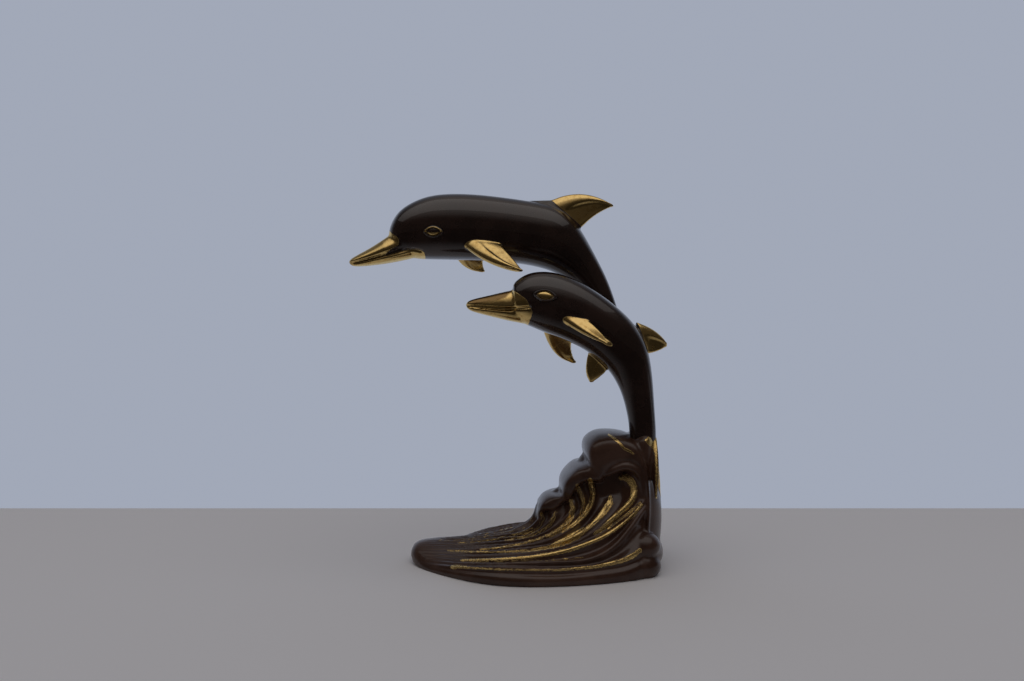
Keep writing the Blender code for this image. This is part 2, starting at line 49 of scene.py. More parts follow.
view = {
    "distance": 446.0,  # mm from the figure's middle plane to the lens
    "height": 129.1,  # mm at which the picture's centre line meets that plane
    "focal": 781.0,  # pixels
    "centre": (512.0, 335.0),
    "imageWidth": 1024.0,
    "sensor": 36.0,
    "pitch": 0.4034,  # degrees below level
    "mmPerPixel": 0.57,  # in the figure's middle plane
}


# curves and surfaces that the forms share

def smoothTrack(points):
    p = np.array(points, float).reshape(len(points), -1)
    last = len(p) - 1
    matrix = np.eye(last + 1)
    target = np.zeros_like(p)
    for i in range(1, last):
        matrix[i, i - 1:i + 2] = (1, 4, 1)
        target[i] = 6 * (p[i + 1] - 2 * p[i] + p[i - 1])
    bend = np.linalg.solve(matrix, target)

    def at(t):
        s = min(max(t, 0.0), 1.0) * last
        i = min(int(s), last - 1)
        f = s - i
        g = 1 - f
        return g * p[i] + f * p[i + 1] + ((g ** 3 - g) * bend[i] + (f ** 3 - f) * bend[i + 1]) / 6

    return at


def ease(low, high, value):
    s = min(max((value - low) / (high - low), 0.0), 1.0)
    return s * s * (3 - 2 * s)


def easeAll(low, high, values):
    s = np.clip((values - low) / (high - low), 0.0, 1.0)
    return s * s * (3 - 2 * s)


def formBetween(upper, lower, sideways, halfWidths, fullness=1.0):
    # a point on the form from its place along, the angle round and a scale out from the middle
    upperAt, lowerAt = smoothTrack(upper), smoothTrack(lower)
    yAt, halfWidthAt = smoothTrack(sideways), smoothTrack(halfWidths)
    fullnessAt = smoothTrack(fullness if isinstance(fullness, list) else [fullness, fullness])

    def full(value, t):
        return math.copysign(abs(value) ** fullnessAt(t)[0], value)

    def at(t, degrees, scale=1.0):
        top, bottom = upperAt(t), lowerAt(t)
        middle, half = (top + bottom) / 2, (top - bottom) / 2
        angle = math.radians(degrees)
        up = half * full(math.sin(angle), t) * scale
        out = halfWidthAt(t)[0] * math.cos(angle) * scale
        return Vector((middle[0] + up[0], yAt(t)[0] - out, middle[1] + up[1]))

    return at


def girth(upper, lower, width):
    heights = [math.dist(a, b) for a, b in zip(upper, lower)]
    return [width / 2 * height / max(heights) for height in heights]


def deselect():
    if bpy.context.object and bpy.context.object.mode != "OBJECT":
        bpy.ops.object.mode_set(mode="OBJECT")
    bpy.ops.object.select_all(action="DESELECT")


def shapedBall(name, sides, rings, place):
    # a UV sphere pulled into the form: poles become its ends, segments its angle
    deselect()
    bpy.ops.mesh.primitive_uv_sphere_add(segments=sides, ring_count=rings, radius=1.0)
    ball = bpy.context.object
    ball.name = name
    for vert in ball.data.vertices:
        along = math.acos(max(-1.0, min(1.0, -vert.co.z))) / math.pi
        around = math.atan2(vert.co.y, vert.co.x) % (2 * math.pi)
        if min(along, 1 - along) < 1e-4:
            around = 0.0
        vert.co = place(along, around)
    outward(ball)
    return ball


def outward(obj):
    bm = bmesh.new()
    bm.from_mesh(obj.data)
    bmesh.ops.recalc_face_normals(bm, faces=bm.faces)
    if bm.calc_volume(signed=True) < 0:
        bmesh.ops.reverse_faces(bm, faces=bm.faces)
    bm.to_mesh(obj.data)
    bm.free()


def plainBall(name, centre, halfSizes, sides=48, rings=32):
    deselect()
    bpy.ops.mesh.primitive_uv_sphere_add(segments=sides, ring_count=rings, radius=1.0, location=centre)
    ball = bpy.context.object
    ball.name = name
    ball.scale = halfSizes
    bpy.ops.object.transform_apply(location=True, rotation=True, scale=True)
    return ball


def treeOf(obj):
    bm = bmesh.new()
    bm.from_mesh(obj.data)
    tree = BVHTree.FromBMesh(bm)
    bm.free()
    return tree


def applyModifier(obj, kind, **settings):
    deselect()
    bpy.context.view_layer.objects.active = obj
    obj.select_set(True)
    modifier = obj.modifiers.new(kind.title(), kind)
    for key, value in settings.items():
        setattr(modifier, key, value)
    bpy.ops.object.modifier_apply(modifier=modifier.name)


casting = {
    "dolphinVoxel": 0.56,  # mm
    "dolphinFillet": 2.4,
    "waveVoxel": 0.68,
    "waveFillet": 2.2,
    "draftCoarser": 1.8,
}


def cast(name, forms, voxel, fillet, smoothing=10):
    # the forms run together as in one casting: remeshed, eased, then put back on the true
    # surfaces away from where two forms meet, so that only the joints keep their soft fillets
    trees = [treeOf(form) for form in forms]
    deselect()
    for form in forms:
        form.select_set(True)
    bpy.context.view_layer.objects.active = forms[0]
    bpy.ops.object.join()
    whole = bpy.context.object
    whole.name = name
    whole.data.name = name
    size = voxel * 1.0
    applyModifier(whole, "REMESH", mode="VOXEL", voxel_size=size)
    applyModifier(whole, "SMOOTH", factor=0.5, iterations=smoothing)
    limit = fillet + 1.5
    for vert in whole.data.vertices:
        found = []
        for tree in trees:
            spot, _, _, distance = tree.find_nearest(vert.co, limit)
            if spot is not None:
                found.append((distance, spot))
        if not found:
            continue
        found.sort(key=lambda item: item[0])
        second = found[1][0] if len(found) > 1 else limit
        hold = ease(fillet * 0.45, fillet, second)
        vert.co = vert.co.lerp(found[0][1], hold)
    applyModifier(whole, "SMOOTH", factor=0.5, iterations=2)
    return whole


def coordinates(obj):
    co = np.empty(len(obj.data.vertices) * 3, np.float32)
    obj.data.vertices.foreach_get("co", co)
    return co.reshape(-1, 3).astype(float)


def setCoordinates(obj, co):
    obj.data.vertices.foreach_set("co", np.asarray(co, np.float32).ravel())
    obj.data.update()


def normalsOf(obj):
    n = np.empty(len(obj.data.vertices) * 3, np.float32)
    obj.data.vertices.foreach_get("normal", n)
    return n.reshape(-1, 3).astype(float)


def asSeen(co, middleY=0.0):
    # where each point, or its mirror image on the near side, stands in the picture, in pixels
    y = middleY - np.abs(co[:, 1] - middleY)
    k = (view["distance"] + y) / view["focal"]
    return np.stack([view["centre"][0] + co[:, 0] / k,
                     view["centre"][1] + (view["height"] - co[:, 2]) / k], 1)


def toStroke(spots, line):
    # for each spot: distance to the line, place along it, side of it, and the line's own third value
    line = np.array(line, float)
    lengths = np.linalg.norm(np.diff(line[:, :2], axis=0), axis=1)
    starts = np.concatenate([[0.0], np.cumsum(lengths)])
    best = np.full(len(spots), 1e9)
    along, side, width = np.zeros(len(spots)), np.zeros(len(spots)), np.zeros(len(spots))
    for i in range(len(line) - 1):
        a, b = line[i, :2], line[i + 1, :2]
        run = b - a
        t = np.clip(((spots - a) @ run) / (run @ run), 0, 1)
        gap = spots - (a + t[:, None] * run)
        distance = np.linalg.norm(gap, axis=1)
        nearer = distance < best
        best[nearer] = distance[nearer]
        along[nearer] = starts[i] + t[nearer] * lengths[i]
        side[nearer] = np.sign(run[0] * gap[nearer, 1] - run[1] * gap[nearer, 0]) * distance[nearer]
        width[nearer] = (line[i, 2] + t * (line[i + 1, 2] - line[i, 2]))[nearer] if line.shape[1] > 2 else 0
    return best, along, side, width


def inArea(spots, area):
    # distance inside the closed outline, negative outside
    area = np.array(area, float)
    edge, _, _, _ = toStroke(spots, np.vstack([area, area[:1]]))
    inside = np.zeros(len(spots), bool)
    for a, b in zip(area, np.roll(area, -1, axis=0)):
        crosses = (a[1] > spots[:, 1]) != (b[1] > spots[:, 1])
        x = a[0] + (spots[:, 1] - a[1]) / (b[1] - a[1] + 1e-12) * (b[0] - a[0])
        inside ^= crosses & (spots[:, 0] < x)
    return np.where(inside, edge, -edge)


def store(obj, name, values):
    kind = "FLOAT" if values.ndim == 1 else "FLOAT_VECTOR"
    layer = obj.data.attributes.new(name, kind, "POINT")
    layer.data.foreach_set("value" if kind == "FLOAT" else "vector", values.astype(np.float32).ravel())


paintedReach = 3.0  # mm on each side of a gilded edge over which its distance is painted


def paint(obj, inside, worn, grain, paintedShade=None):
    # inside: mm inside the gilding, negative outside; worn: 0 to 1; grain: brush direction
    # coordinates; the last value: how much painted shade darkens the gilding, 0 to 1
    store(obj, "gilding", np.clip(0.5 + inside / (2 * paintedReach), 0.0, 1.0))
    store(obj, "gildingWear", np.clip(worn, 0.0, 1.0))
    store(obj, "brushGrain", grain)
    store(obj, "paintedShade", np.zeros(len(inside)) if paintedShade is None else np.clip(paintedShade, 0.0, 1.0))


# the two dolphins

largeDolphin = {
    "name": "largeDolphin",
    "back": [(-72.0, 186.5), (-70.8, 192.9), (-66.2, 200.8), (-57.4, 207.0), (-44.0, 211.1),
             (-24.7, 211.6), (-5.3, 209.8), (12.4, 207.3), (25.5, 204.2), (34.8, 198.0),
             (42.5, 187.6), (49.6, 174.6), (56.8, 159.4), (63.8, 138.6), (70.9, 114.5),
             (76.5, 94.1), (79.4, 73.8), (79.6, 58.0)],
    "belly": [(-72.0, 186.5), (-68.5, 178.3), (-62.7, 175.1), (-54.5, 173.8), (-42.3, 173.4),
              (-24.1, 173.0), (-7.7, 172.3), (5.5, 170.9), (14.6, 169.2), (21.6, 167.2),
              (28.2, 164.4), (35.8, 160.0), (44.4, 151.0), (52.2, 134.0), (59.2, 110.9),
              (66.0, 92.3), (70.2, 73.2), (71.0, 58.0)],
    "sideways": [10.5, 13.0, 14.5, 13.5, 9.0],
    "width": 34.0,
    "beakTop": [(-95.2, 171.6), (-92.8, 174.2), (-84.5, 178.8), (-75.5, 184.4), (-66.0, 191.0)],
    "beakBottom": [(-95.2, 171.6), (-92.3, 169.3), (-83.5, 169.5), (-70.0, 171.3), (-55.0, 174.5)],
    "beakWidth": 17.0,
    "beakShoulder": [(0.36, 0.93), (0.70, 0.62), (0.97, 0.20)],  # half a section, out and up
    # place along the body, angle round it, then front root, front edge, tip, rear edge, rear root
    "fins": {
        "dorsal": (0.51, 90.0, [(-15.0, -2.0, 4.6), (7.3, -2.0, 11.2), (27.8, -2.0, 4.2),
                                (16.1, -2.0, -1.8), (6.2, -2.0, -11.5)]),
        "nearPectoral": (0.315, -33.0, [(-12.4, 3.6, 1.2), (4.7, -8.4, -11.7), (23.7, -15.9, -17.3),
                                        (17.8, -8.4, -9.2), (9.2, 3.6, 2.1)]),
        "farPectoral": (0.27, 216.0, [(-3.4, -2.9, -2.1), (4.0, 3.1, -10.9), (15.2, 6.1, -13.3),
                                      (14.4, 3.1, -7.9), (14.0, -2.9, -2.1)]),
    },
    # thickness at the root and the tip, and how dished the side is
    "finSections": {"dorsal": (10.0, 4.6, 0.5), "nearPectoral": (8.0, 5.0, 0.3),
                    "farPectoral": (5.0, 3.4, 0.2)},
    # the enamel runs up the root of a fin as far as this line in the picture
    "enamelTo": {"dorsal": ((549.9, 199.0), (581.5, 225.8))},
    # painted shade on the beak: a dark area between the jaws, laid over the gilding for the shaded underside
    # of the upper jaw, with how dark it is
    "paintedShadeAreas": [([(348, 263), (362, 260), (385, 253), (400, 249), (404, 252), (385, 258),
                    (362, 264)], 0.6)],
    # a low web in front of the dorsal fin
    "web": [(2.0, 12.8, 206.0), (10.0, 12.8, 205.9), (18.0, 12.6, 206.1), (27.5, 12.4, 207.6)],
    "webRadius": 2.1,
    "mouth": [(351, 264), (362, 261.5), (375, 258), (388, 255.5), (397, 253), (405, 250.6),
              (413, 249.6), (421, 251.5)],
    "gilded": [[(338, 268), (338, 258), (350, 245), (374, 228), (389, 230), (392.5, 234), (396.5, 236.5),
                (399, 240), (398.3, 245), (391, 249), (384, 256)],
               [(338, 262), (352, 263), (375, 257.5), (390, 254.5), (400, 251.5), (408, 249.8),
                (415, 249.3), (421, 250.3), (424.4, 252.6), (425.6, 257.5), (424, 265), (380, 272),
                (338, 272)]],
    "eye": {"along": 0.229, "angle": -14.0, "length": 12.4, "height": 0.60, "tilt": -3.0, "closed": 0.1},
}

smallDolphin = {
    "name": "smallDolphin",
    "back": [(0.2, 149.0), (0.6, 156.3), (3.4, 159.9), (8.9, 162.9), (17.2, 164.1),
             (26.9, 162.7), (37.7, 158.4), (48.8, 151.6), (59.0, 143.7), (67.4, 135.3),
             (73.3, 126.0), (76.3, 116.8), (77.9, 106.8), (78.8, 97.3), (79.5, 88.3),
             (80.2, 79.3), (80.5, 70.0), (80.0, 58.0)],
    "belly": [(0.2, 149.0), (1.1, 139.6), (3.9, 136.9), (7.8, 134.9), (12.2, 133.0),
              (18.3, 130.5), (25.5, 127.9), (32.7, 124.9), (40.0, 121.0), (46.7, 116.2),
              (52.0, 111.2), (56.0, 106.2), (59.2, 100.6), (61.6, 94.8), (63.6, 87.7),
              (65.2, 79.3), (66.0, 70.0), (67.0, 58.0)],
    "sideways": [-13.5, -13.5, -13.0, -11.0, -9.0],
    "width": 28.5,
    "beakTop": [(-25.4, 145.7), (-23.2, 148.3), (-14.5, 150.6), (-4.5, 153.0), (6.0, 155.0)],
    "beakBottom": [(-25.4, 145.7), (-23.0, 142.6), (-14.0, 139.9), (-3.0, 137.2), (9.0, 134.8)],
    "beakWidth": 15.0,
    "beakShoulder": [(0.46, 0.90), (0.84, 0.54), (0.98, 0.12)],
    "fins": {
        "dorsal": (0.56, 84.0, [(-2.7, 3.8, 6.2), (10.1, 7.8, 0.6), (16.9, 9.8, -7.3),
                                (11.2, 7.8, -10.4), (2.5, 4.8, -12.3)]),
        "nearPectoral": (0.36, -14.0, [(-8.2, 4.0, 0.5), (7.0, -2.0, -9.6), (22.3, -3.5, -15.7),
                                       (13.9, -2.5, -6.2), (6.7, 4.0, 0.7)]),
        "farPectoral": (0.30, 236.0, [(-2.9, -2.5, 1.2), (5.0, 8.5, -14.2), (17.4, 12.5, -20.1),
                                      (14.6, 8.5, -13.0), (13.9, -2.5, -5.0)]),
        "belly": (0.55, -90.0, [(-5.2, 2.7, 8.5), (-7.4, 3.7, -4.9), (-4.2, 4.7, -11.9),
                                (1.6, 3.7, -7.9), (7.7, 2.7, -1.6)]),
    },
    "finSections": {"dorsal": (7.5, 4.0, 0.4), "nearPectoral": (7.0, 4.6, 0.25),
                    "farPectoral": (5.0, 3.4, 0.2), "belly": (5.0, 3.4, 0.2)},
    "enamelTo": {"dorsal": ((640.2, 326.0), (650.0, 353.0))},
    # painted shade on the beak: a dark sliver along the top plane for its dark reflection, and a dark band
    # under the mouth for the shaded underside of the upper jaw, each with how dark it is
    "paintedShadeAreas": [([(467, 303), (470, 298), (480, 294), (492, 290), (505, 286), (514, 288), (506, 298),
                    (497, 301), (485, 303), (476, 304.5)], 0.86),
                  ([(470, 308), (490, 309.5), (515, 309.5), (531, 308.5), (531, 312), (500, 313), (474, 311)],
                   0.6)],
    "web": None,
    "mouth": [(468, 306), (480, 307), (495, 308.5), (510, 309), (520, 308.5), (529.5, 307.5)],
    "gilded": [[(460, 312), (460, 300), (480, 291), (500, 288), (513, 290), (520, 295), (526, 299),
                (529, 305), (532.5, 312), (531, 318), (527, 328), (500, 326), (470, 318)]],
    "eye": {"along": 0.256, "angle": 8.0, "length": 14.0, "height": 0.54, "tilt": 3.0, "closed": 1.0},
}


def beakForm(name, make):
    topAt, bottomAt = smoothTrack(make["beakTop"]), smoothTrack(make["beakBottom"])
    deepest = math.dist(make["beakTop"][-2], make["beakBottom"][-2])
    y = make["sideways"][0]

    # half a section from the crown down: a sloping top plane, a steep side under it,
    # the groove between the jaws and the narrower lower jaw
    section = smoothTrack([(0.0, 1.0), *make["beakShoulder"], (0.90, -0.14),
                           (0.68, -0.29), (0.84, -0.42), (0.56, -0.82), (0.0, -1.0)])

    def place(along, around):
        t = min(along, 0.97) ** 1.5
        high, low = topAt(t), bottomAt(t)
        middle, half = (high + low) / 2, (high - low) / 2
        if along > 0.9999:
            half = half * 0
        width = make["beakWidth"] / 2 * min(1.0, (np.hypot(*half) * 2 / deepest) ** 0.8)
        if along < 1e-4:
            width = 0.0
        side = 1 if math.cos(around) >= 0 else -1
        fall = math.degrees(math.asin(max(-1.0, min(1.0, math.sin(around)))))
        out, up = section((90 - fall) / 180)
        lift = half * up
        return Vector((middle[0] + lift[0], y - width * out * side, middle[1] + lift[1]))

    return shapedBall(name, 96, 64, place)


def finForm(name, points, section, tipHalfWidth=1.6):
    # a paddle through five points with a thick rounded front edge, dished sides and a blunt tip
    front, crest, tip, hollow, back = [Vector(p) for p in points]
    rootThickness, tipThickness, dish = section
    roundFrom = 0.86

    def edge(root, middle, s):
        handle = middle * 2 - (root + tip) / 2
        return root * (1 - s) ** 2 + handle * (2 * s * (1 - s)) + tip * s ** 2

    def place(along, around):
        if along < 1e-4:
            return (front + back) / 2
        if along > 0.9999:
            return tip
        s = math.sin(0.5 * math.pi * along)
        end = math.sqrt(max(0.0, 1 - (max(0.0, s - roundFrom) / (1 - roundFrom)) ** 2))
        lead, trail = edge(front, crest, s), edge(back, hollow, s)
        held = min(s, 0.92)
        across = edge(front, crest, held) - edge(back, hollow, held)
        onward = tip - (edge(front, crest, held) + edge(back, hollow, held)) / 2
        flat = across.cross(onward).normalized()
        across.normalize()
        halfChord = max((lead - trail).length / 2, tipHalfWidth) * end
        toward = math.cos(around)
        band = 1 - dish * (1 - ease(0.0, 0.35, toward)) * ease(0.0, 0.35, s) * ease(-0.98, -0.7, toward)
        taper = 0.62 + 0.38 * ease(-0.9, 0.7, toward)
        thickness = rootThickness + (tipThickness - rootThickness) * min(1.0, s * 1.15)
        rise = thickness / 2 * end * math.sin(around) * band * taper
        return (lead + trail) / 2 + across * (halfChord * toward) + flat * rise

    return shapedBall(name, 56, 44, place)


def cutMouth(obj, make, depth=0.9, halfWidth=1.3):
    # a groove along the line between the jaws, on both sides of the beak
    co, normal = coordinates(obj), normalsOf(obj)
    distance, _, _, _ = toStroke(asSeen(co, make["sideways"][0]), make["mouth"])
    near = easeAll(halfWidth * 1.9, 0.3, distance)
    sideways = np.abs(normal[:, 1]) > 0.25
    co -= normal * (near * sideways * depth)[:, None]
    setCoordinates(obj, co)


def makeDolphin(make):
    surface = formBetween(make["back"], make["belly"], make["sideways"],
                          girth(make["back"], make["belly"], make["width"]))

    def bodyPlace(along, around):
        if along < 1e-4 or along > 0.9999:
            return surface(round(along), 0, 0)
        return surface(along, math.degrees(around))

    body = shapedBall(make["name"] + "Body", 80, 200, bodyPlace)
    beak = beakForm(make["name"] + "Beak", make)
    fins = []
    for name, (along, angle, offsets) in make["fins"].items():
        seat = surface(along, angle)
        fins.append(finForm(make["name"] + name, [seat + Vector(p) for p in offsets],
                            make["finSections"][name]))
    bodyTree = treeOf(body)
    finTrees = [treeOf(fin) for fin in fins]
    webs = [rollForm(make["name"] + "Web", make["web"], make["webRadius"])] if make["web"] else []
    whole = cast(make["name"], [body, beak, *fins, *webs],
                 casting["dolphinVoxel"], casting["dolphinFillet"])
    cutMouth(whole, make)
    co = coordinates(whole)
    spots = asSeen(co, make["sideways"][0])
    inside = np.full(len(co), -paintedReach)
    for area in make["gilded"]:
        inside = np.maximum(inside, inArea(spots, area) * view["mmPerPixel"])
    for name, tree in zip(make["fins"], finTrees):
        beyond = np.full(len(co), paintedReach)
        if name in make["enamelTo"]:
            a, b = np.array(make["enamelTo"][name], float)
            run = (b - a) / np.linalg.norm(b - a)
            past = run[1] * (spots[:, 0] - a[0]) - run[0] * (spots[:, 1] - a[1])
            beyond = past * view["mmPerPixel"]
        for i, vert in enumerate(whole.data.vertices):
            spot, _, _, fromFin = tree.find_nearest(vert.co, paintedReach)
            if spot is not None:
                spot, _, _, fromBody = bodyTree.find_nearest(vert.co)
                inside[i] = max(inside[i], min(fromBody - fromFin - 0.15, paintedReach, beyond[i]))
    # painted shade: inside the listed beak areas the gilding is darkened where it lies in shade or reflects
    # the dim room
    paintedShade = np.zeros(len(co))
    for area, amount in make["paintedShadeAreas"]:
        paintedShade = np.maximum(paintedShade, amount * easeAll(-1.0, 1.6, inArea(spots, area)))
    paint(whole, inside, np.full(len(co), 0.12), co * 0.2, paintedShade)
    return whole, surface


def makeEyes(name, make, surface):
    # an eyeball in an almond ring of lids on each flank
    eye = make["eye"]
    pieces = []
    for side in (1, -1):
        angle = eye["angle"] if side > 0 else 180 - eye["angle"]
        seat = surface(eye["along"], angle, 0.985)
        out = (surface(eye["along"], angle, 1.05) - seat).normalized()
        run = (surface(eye["along"] + 0.02, angle) - surface(eye["along"] - 0.02, angle)).normalized()
        out = (out - run * out.dot(run)).normalized()
        rise = out.cross(run).normalized() * (1 if out.cross(run).z > 0 else -1)
        turn = math.radians(eye["tilt"])
        run, rise = run * math.cos(turn) + rise * math.sin(turn), rise * math.cos(turn) - run * math.sin(turn)
        length = eye["length"]
        gilt = []

        def place(along, around):
            lie = math.sin(math.pi * along)
            x = lie * math.cos(around)
            z = lie * math.sin(around)
            ball = 0.125 * math.sqrt(max(0.0, 1 - (lie / 0.62) ** 2)) - 0.02
            ring = 0.085 * math.exp(-((lie - 0.76) / 0.15) ** 2) - 0.03 * ease(0.9, 1.0, lie)
            height = max(ball, ring) * length if along > 0.5 else -0.12 * length * math.sqrt(1 - lie ** 2)
            # the ball is gilded whole, or only its lower part and the edge of the lid above; the ball's upper
            # part is then left in dark enamel as painted shade for its dark reflection
            whole = (0.60 - lie) * length / 2
            crescent = min(whole, (-0.06 - z) * length * 0.3)
            lidEdge = min(0.10 - abs(lie - 0.74), z - 0.02) * length / 2
            gilt.append(whole if eye["closed"] > 0.5 else max(crescent, lidEdge))
            pinch = 1 - 0.42 * x * x
            across = z * pinch * length * eye["height"] / 2
            return seat + run * (x * length / 2) + rise * across + out * (height + 0.25)

        piece = shapedBall(f"{name}{len(pieces)}", 72, 64, place)
        co = coordinates(piece)
        paint(piece, np.array(gilt), np.full(len(co), 0.08), co * 0.2)
        pieces.append(piece)
    deselect()
    for piece in pieces:
        piece.select_set(True)
    bpy.context.view_layer.objects.active = pieces[0]
    bpy.ops.object.join()
    eyes = bpy.context.object
    eyes.name = name
    return eyes


# the wave

wave = {
    "foot": [(-57.4, 0.0), (-51.0, -13.0), (-31.0, -33.0), (-6.0, -45.4), (22.0, -46.8),
             (46.0, -42.8), (61.0, -38.2), (70.0, -34.0), (78.0, -24.0)],
    "noseHeight": 4.5,
    "noseRing": ((-52.2, 13.2), 11.5),
    "fluteDepth": 1.45,
    "fluteSpacing": 5.0,
    # ridges from the rounded foot up to the top one, each from the nose to its end under the crest
    "ridges": [
        [(-30.6, -33.4, 2.8), (-6.2, -46.2, 3.6), (22.0, -47.6, 3.6), (46.0, -43.4, 4.0),
         (61.0, -38.8, 5.0), (70.0, -34.4, 6.5), (78.0, -24.0, 7.0)],
        [(-29.2, -31.5, 5.7), (-6.2, -43.0, 8.6), (22.1, -44.0, 8.1), (43.6, -40.5, 8.9),
         (58.3, -36.0, 11.0), (67.9, -31.5, 14.5), (76.2, -21.0, 14.3)],
        [(-27.8, -28.4, 6.9), (-5.2, -40.0, 9.7), (21.3, -41.0, 10.6), (40.8, -37.5, 11.4),
         (56.2, -32.0, 18.6), (67.8, -26.0, 31.2), (74.7, -17.0, 38.5)],
        [(-27.5, -25.2, 7.6), (-4.7, -35.5, 10.8), (19.9, -36.5, 13.7), (39.7, -33.0, 18.6),
         (54.5, -28.6, 24.3), (69.2, -23.5, 36.1), (75.1, -15.0, 43.6)],
        [(-27.8, -21.0, 8.5), (-4.8, -29.5, 11.2), (19.1, -31.5, 14.5), (38.9, -29.5, 20.6),
         (56.6, -25.0, 32.1), (66.9, -19.5, 43.4), (61.5, -13.0, 50.9)],
        [(-28.0, -17.0, 9.4), (-4.9, -24.0, 11.8), (17.7, -27.0, 15.4), (32.2, -26.5, 19.8),
         (43.4, -22.5, 26.1), (51.0, -18.0, 33.7), (55.5, -12.5, 39.7)],
        [(-28.2, -13.4, 10.4), (-4.9, -19.3, 12.6), (15.7, -23.0, 16.2), (29.2, -23.0, 21.9),
         (38.7, -20.0, 29.0), (44.8, -17.0, 39.6), (43.1, -12.0, 49.1)],
        [(-28.4, -11.0, 11.0), (-5.0, -16.2, 13.2), (13.1, -20.5, 16.9), (25.6, -20.8, 22.4),
         (34.5, -18.6, 28.7), (39.6, -16.0, 37.2), (36.2, -11.5, 46.2)],
        [(-28.6, -8.2, 11.8), (-5.0, -12.4, 14.0), (10.4, -17.5, 17.3), (21.3, -18.5, 22.1),
         (29.1, -17.0, 28.0), (33.7, -15.0, 34.2), (32.6, -10.5, 39.9)],
        [(-28.8, -5.2, 12.6), (-5.0, -8.4, 14.8), (6.7, -13.0, 16.8), (15.5, -14.6, 20.6),
         (20.5, -14.0, 25.1), (23.3, -12.5, 29.2), (25.2, -8.5, 34.4)],
        [(-28.9, -2.5, 13.1), (-5.1, -4.2, 15.4), (3.9, -7.6, 17.1), (10.6, -9.4, 20.6),
         (15.1, -10.0, 25.3), (16.8, -9.0, 29.2), (16.9, -6.5, 34.0)],
        [(-29.0, 0.0, 13.4), (-5.1, 0.0, 15.8), (2.0, 0.0, 17.6), (7.8, 0.0, 20.2),
         (11.8, 0.0, 24.0), (14.0, 0.0, 29.0), (18.0, 0.0, 34.0)],
    ],
    "heart": (56.0, 0.0, 30.0),
    "crestOuter": [(13.4, 25.2), (14.0, 30.9), (16.0, 36.0), (19.4, 38.9), (23.4, 39.8), (26.7, 40.6),
                   (27.1, 45.2), (28.6, 49.7), (32.0, 53.7), (36.5, 56.9), (41.1, 58.7), (40.5, 63.4),
                   (40.8, 68.6), (43.4, 72.1), (48.5, 74.7), (56.0, 75.2), (62.8, 74.3), (68.7, 71.6),
                   (72.5, 66.3), (74.5, 59.5), (75.8, 50.0), (76.5, 39.3), (76.4, 29.6), (75.4, 20.1),
                   (74.0, 11.8)],
    "crestInner": [(16.3, 25.3), (18.5, 29.3), (21.3, 30.4), (25.2, 30.4), (28.6, 34.9), (31.4, 36.8),
                   (34.2, 38.8), (36.5, 43.3), (39.8, 46.7), (44.3, 47.8), (48.8, 46.7), (51.6, 47.8),
                   (52.7, 50.6), (54.4, 52.5), (56.6, 54.0), (59.4, 54.8), (62.3, 55.1), (65.0, 55.2),
                   (67.9, 53.8), (70.1, 50.2), (71.2, 45.1), (71.6, 38.2), (71.2, 29.6), (70.0, 20.1),
                   (68.1, 10.8)],
    "crestHalfWidth": [8.0, 11.5, 13.5, 14.0, 14.5, 15.5, 17.5, 19.0, 20.0, 20.0, 19.5, 20.0,
                       20.5, 21.0, 21.0, 21.0, 21.0, 21.5, 22.0, 22.8, 23.4, 24.0, 24.6, 25.8, 28.0],
    "crestFullness": [0.6, 0.5, 0.48, 0.48, 0.48, 0.5, 0.7, 0.9, 1.0],
    "backRear": [(79.0, 78.0), (80.4, 70.0), (81.2, 60.0), (81.6, 48.0), (84.2, 38.0),
                 (85.0, 29.0), (84.6, 18.0), (82.0, -3.0)],
    "backFront": [(68.0, 76.0), (64.5, 68.0), (62.0, 58.0), (60.0, 48.0), (57.0, 38.0),
                  (54.0, 29.0), (51.0, 18.0), (48.0, -3.0)],
    "backHalfWidth": [17.0, 19.0, 20.0, 20.5, 21.0, 21.5, 23.0, 25.0],
    "backDome": 0.12,  # share of its length that its top is rounded over
    "masses": {"core": ((56.0, 0.0, 34.0), (24.5, 14.5, 36.0)),
               "coreFront": ((34.0, 0.0, 25.0), (18.0, 10.5, 19.0)),
               "rearRoll": ((73.0, 0.0, 9.0), (12.0, 31.0, 10.5))},
    # on each side behind the face: a roll over the end of the foot, and the foot's own end
    "knobs": [((71.6, -24.0, 15.4), (8.6, 9.4, 7.4)), ((69.4, -24.5, 5.0), (11.0, 10.5, 8.6))],
    # the lip over the pocket that the curl comes out of, as x, y and z, and its radius
    "lip": [(49.6, -15.5, 50.2), (52.8, -18.0, 53.2), (56.6, -19.0, 55.7), (61.6, -19.4, 57.4),
            (66.6, -19.6, 56.2), (69.9, -20.0, 52.6), (71.2, -20.6, 46.5), (71.4, -21.2, 38.0)],
    "lipRadius": 2.3,
    "flukes": {"outer": [(80.4, -6.0, 76.5), (80.2, -18.5, 61.0), (77.8, -24.0, 40.0),
                         (76.0, -16.5, 54.0), (72.5, -14.5, 69.0)],
               "inner": [(79.6, -9.0, 74.0), (81.6, -8.6, 54.0), (84.0, -3.8, 33.0),
                         (81.8, -1.0, 50.0), (79.6, -3.0, 70.0)]},
    "flukeSection": (4.0, 2.4, 0.0),
    # the low front's upper outline in the picture, in pixels
    "lowFrontOutline": [(405, 560), (412, 543), (430, 536.5), (466, 534.5), (478, 531.5), (491, 528),
                        (505, 525.5), (519, 523), (526, 521), (533, 515), (538, 500), (545, 488)],
    # under the base: height and how far in from the foot
    "hollowSteps": [(-1.0, 4.0), (2.5, 4.5), (5.0, 9.0), (7.2, 17.0), (7.6, 26.0)],
    "hollowMiddle": (16.0, 0.0),
    "hollowRear": (82.0, 0.0),
    "hollowSlant": 0.55,  # how much further in it draws at the slanted ends of the foot
}

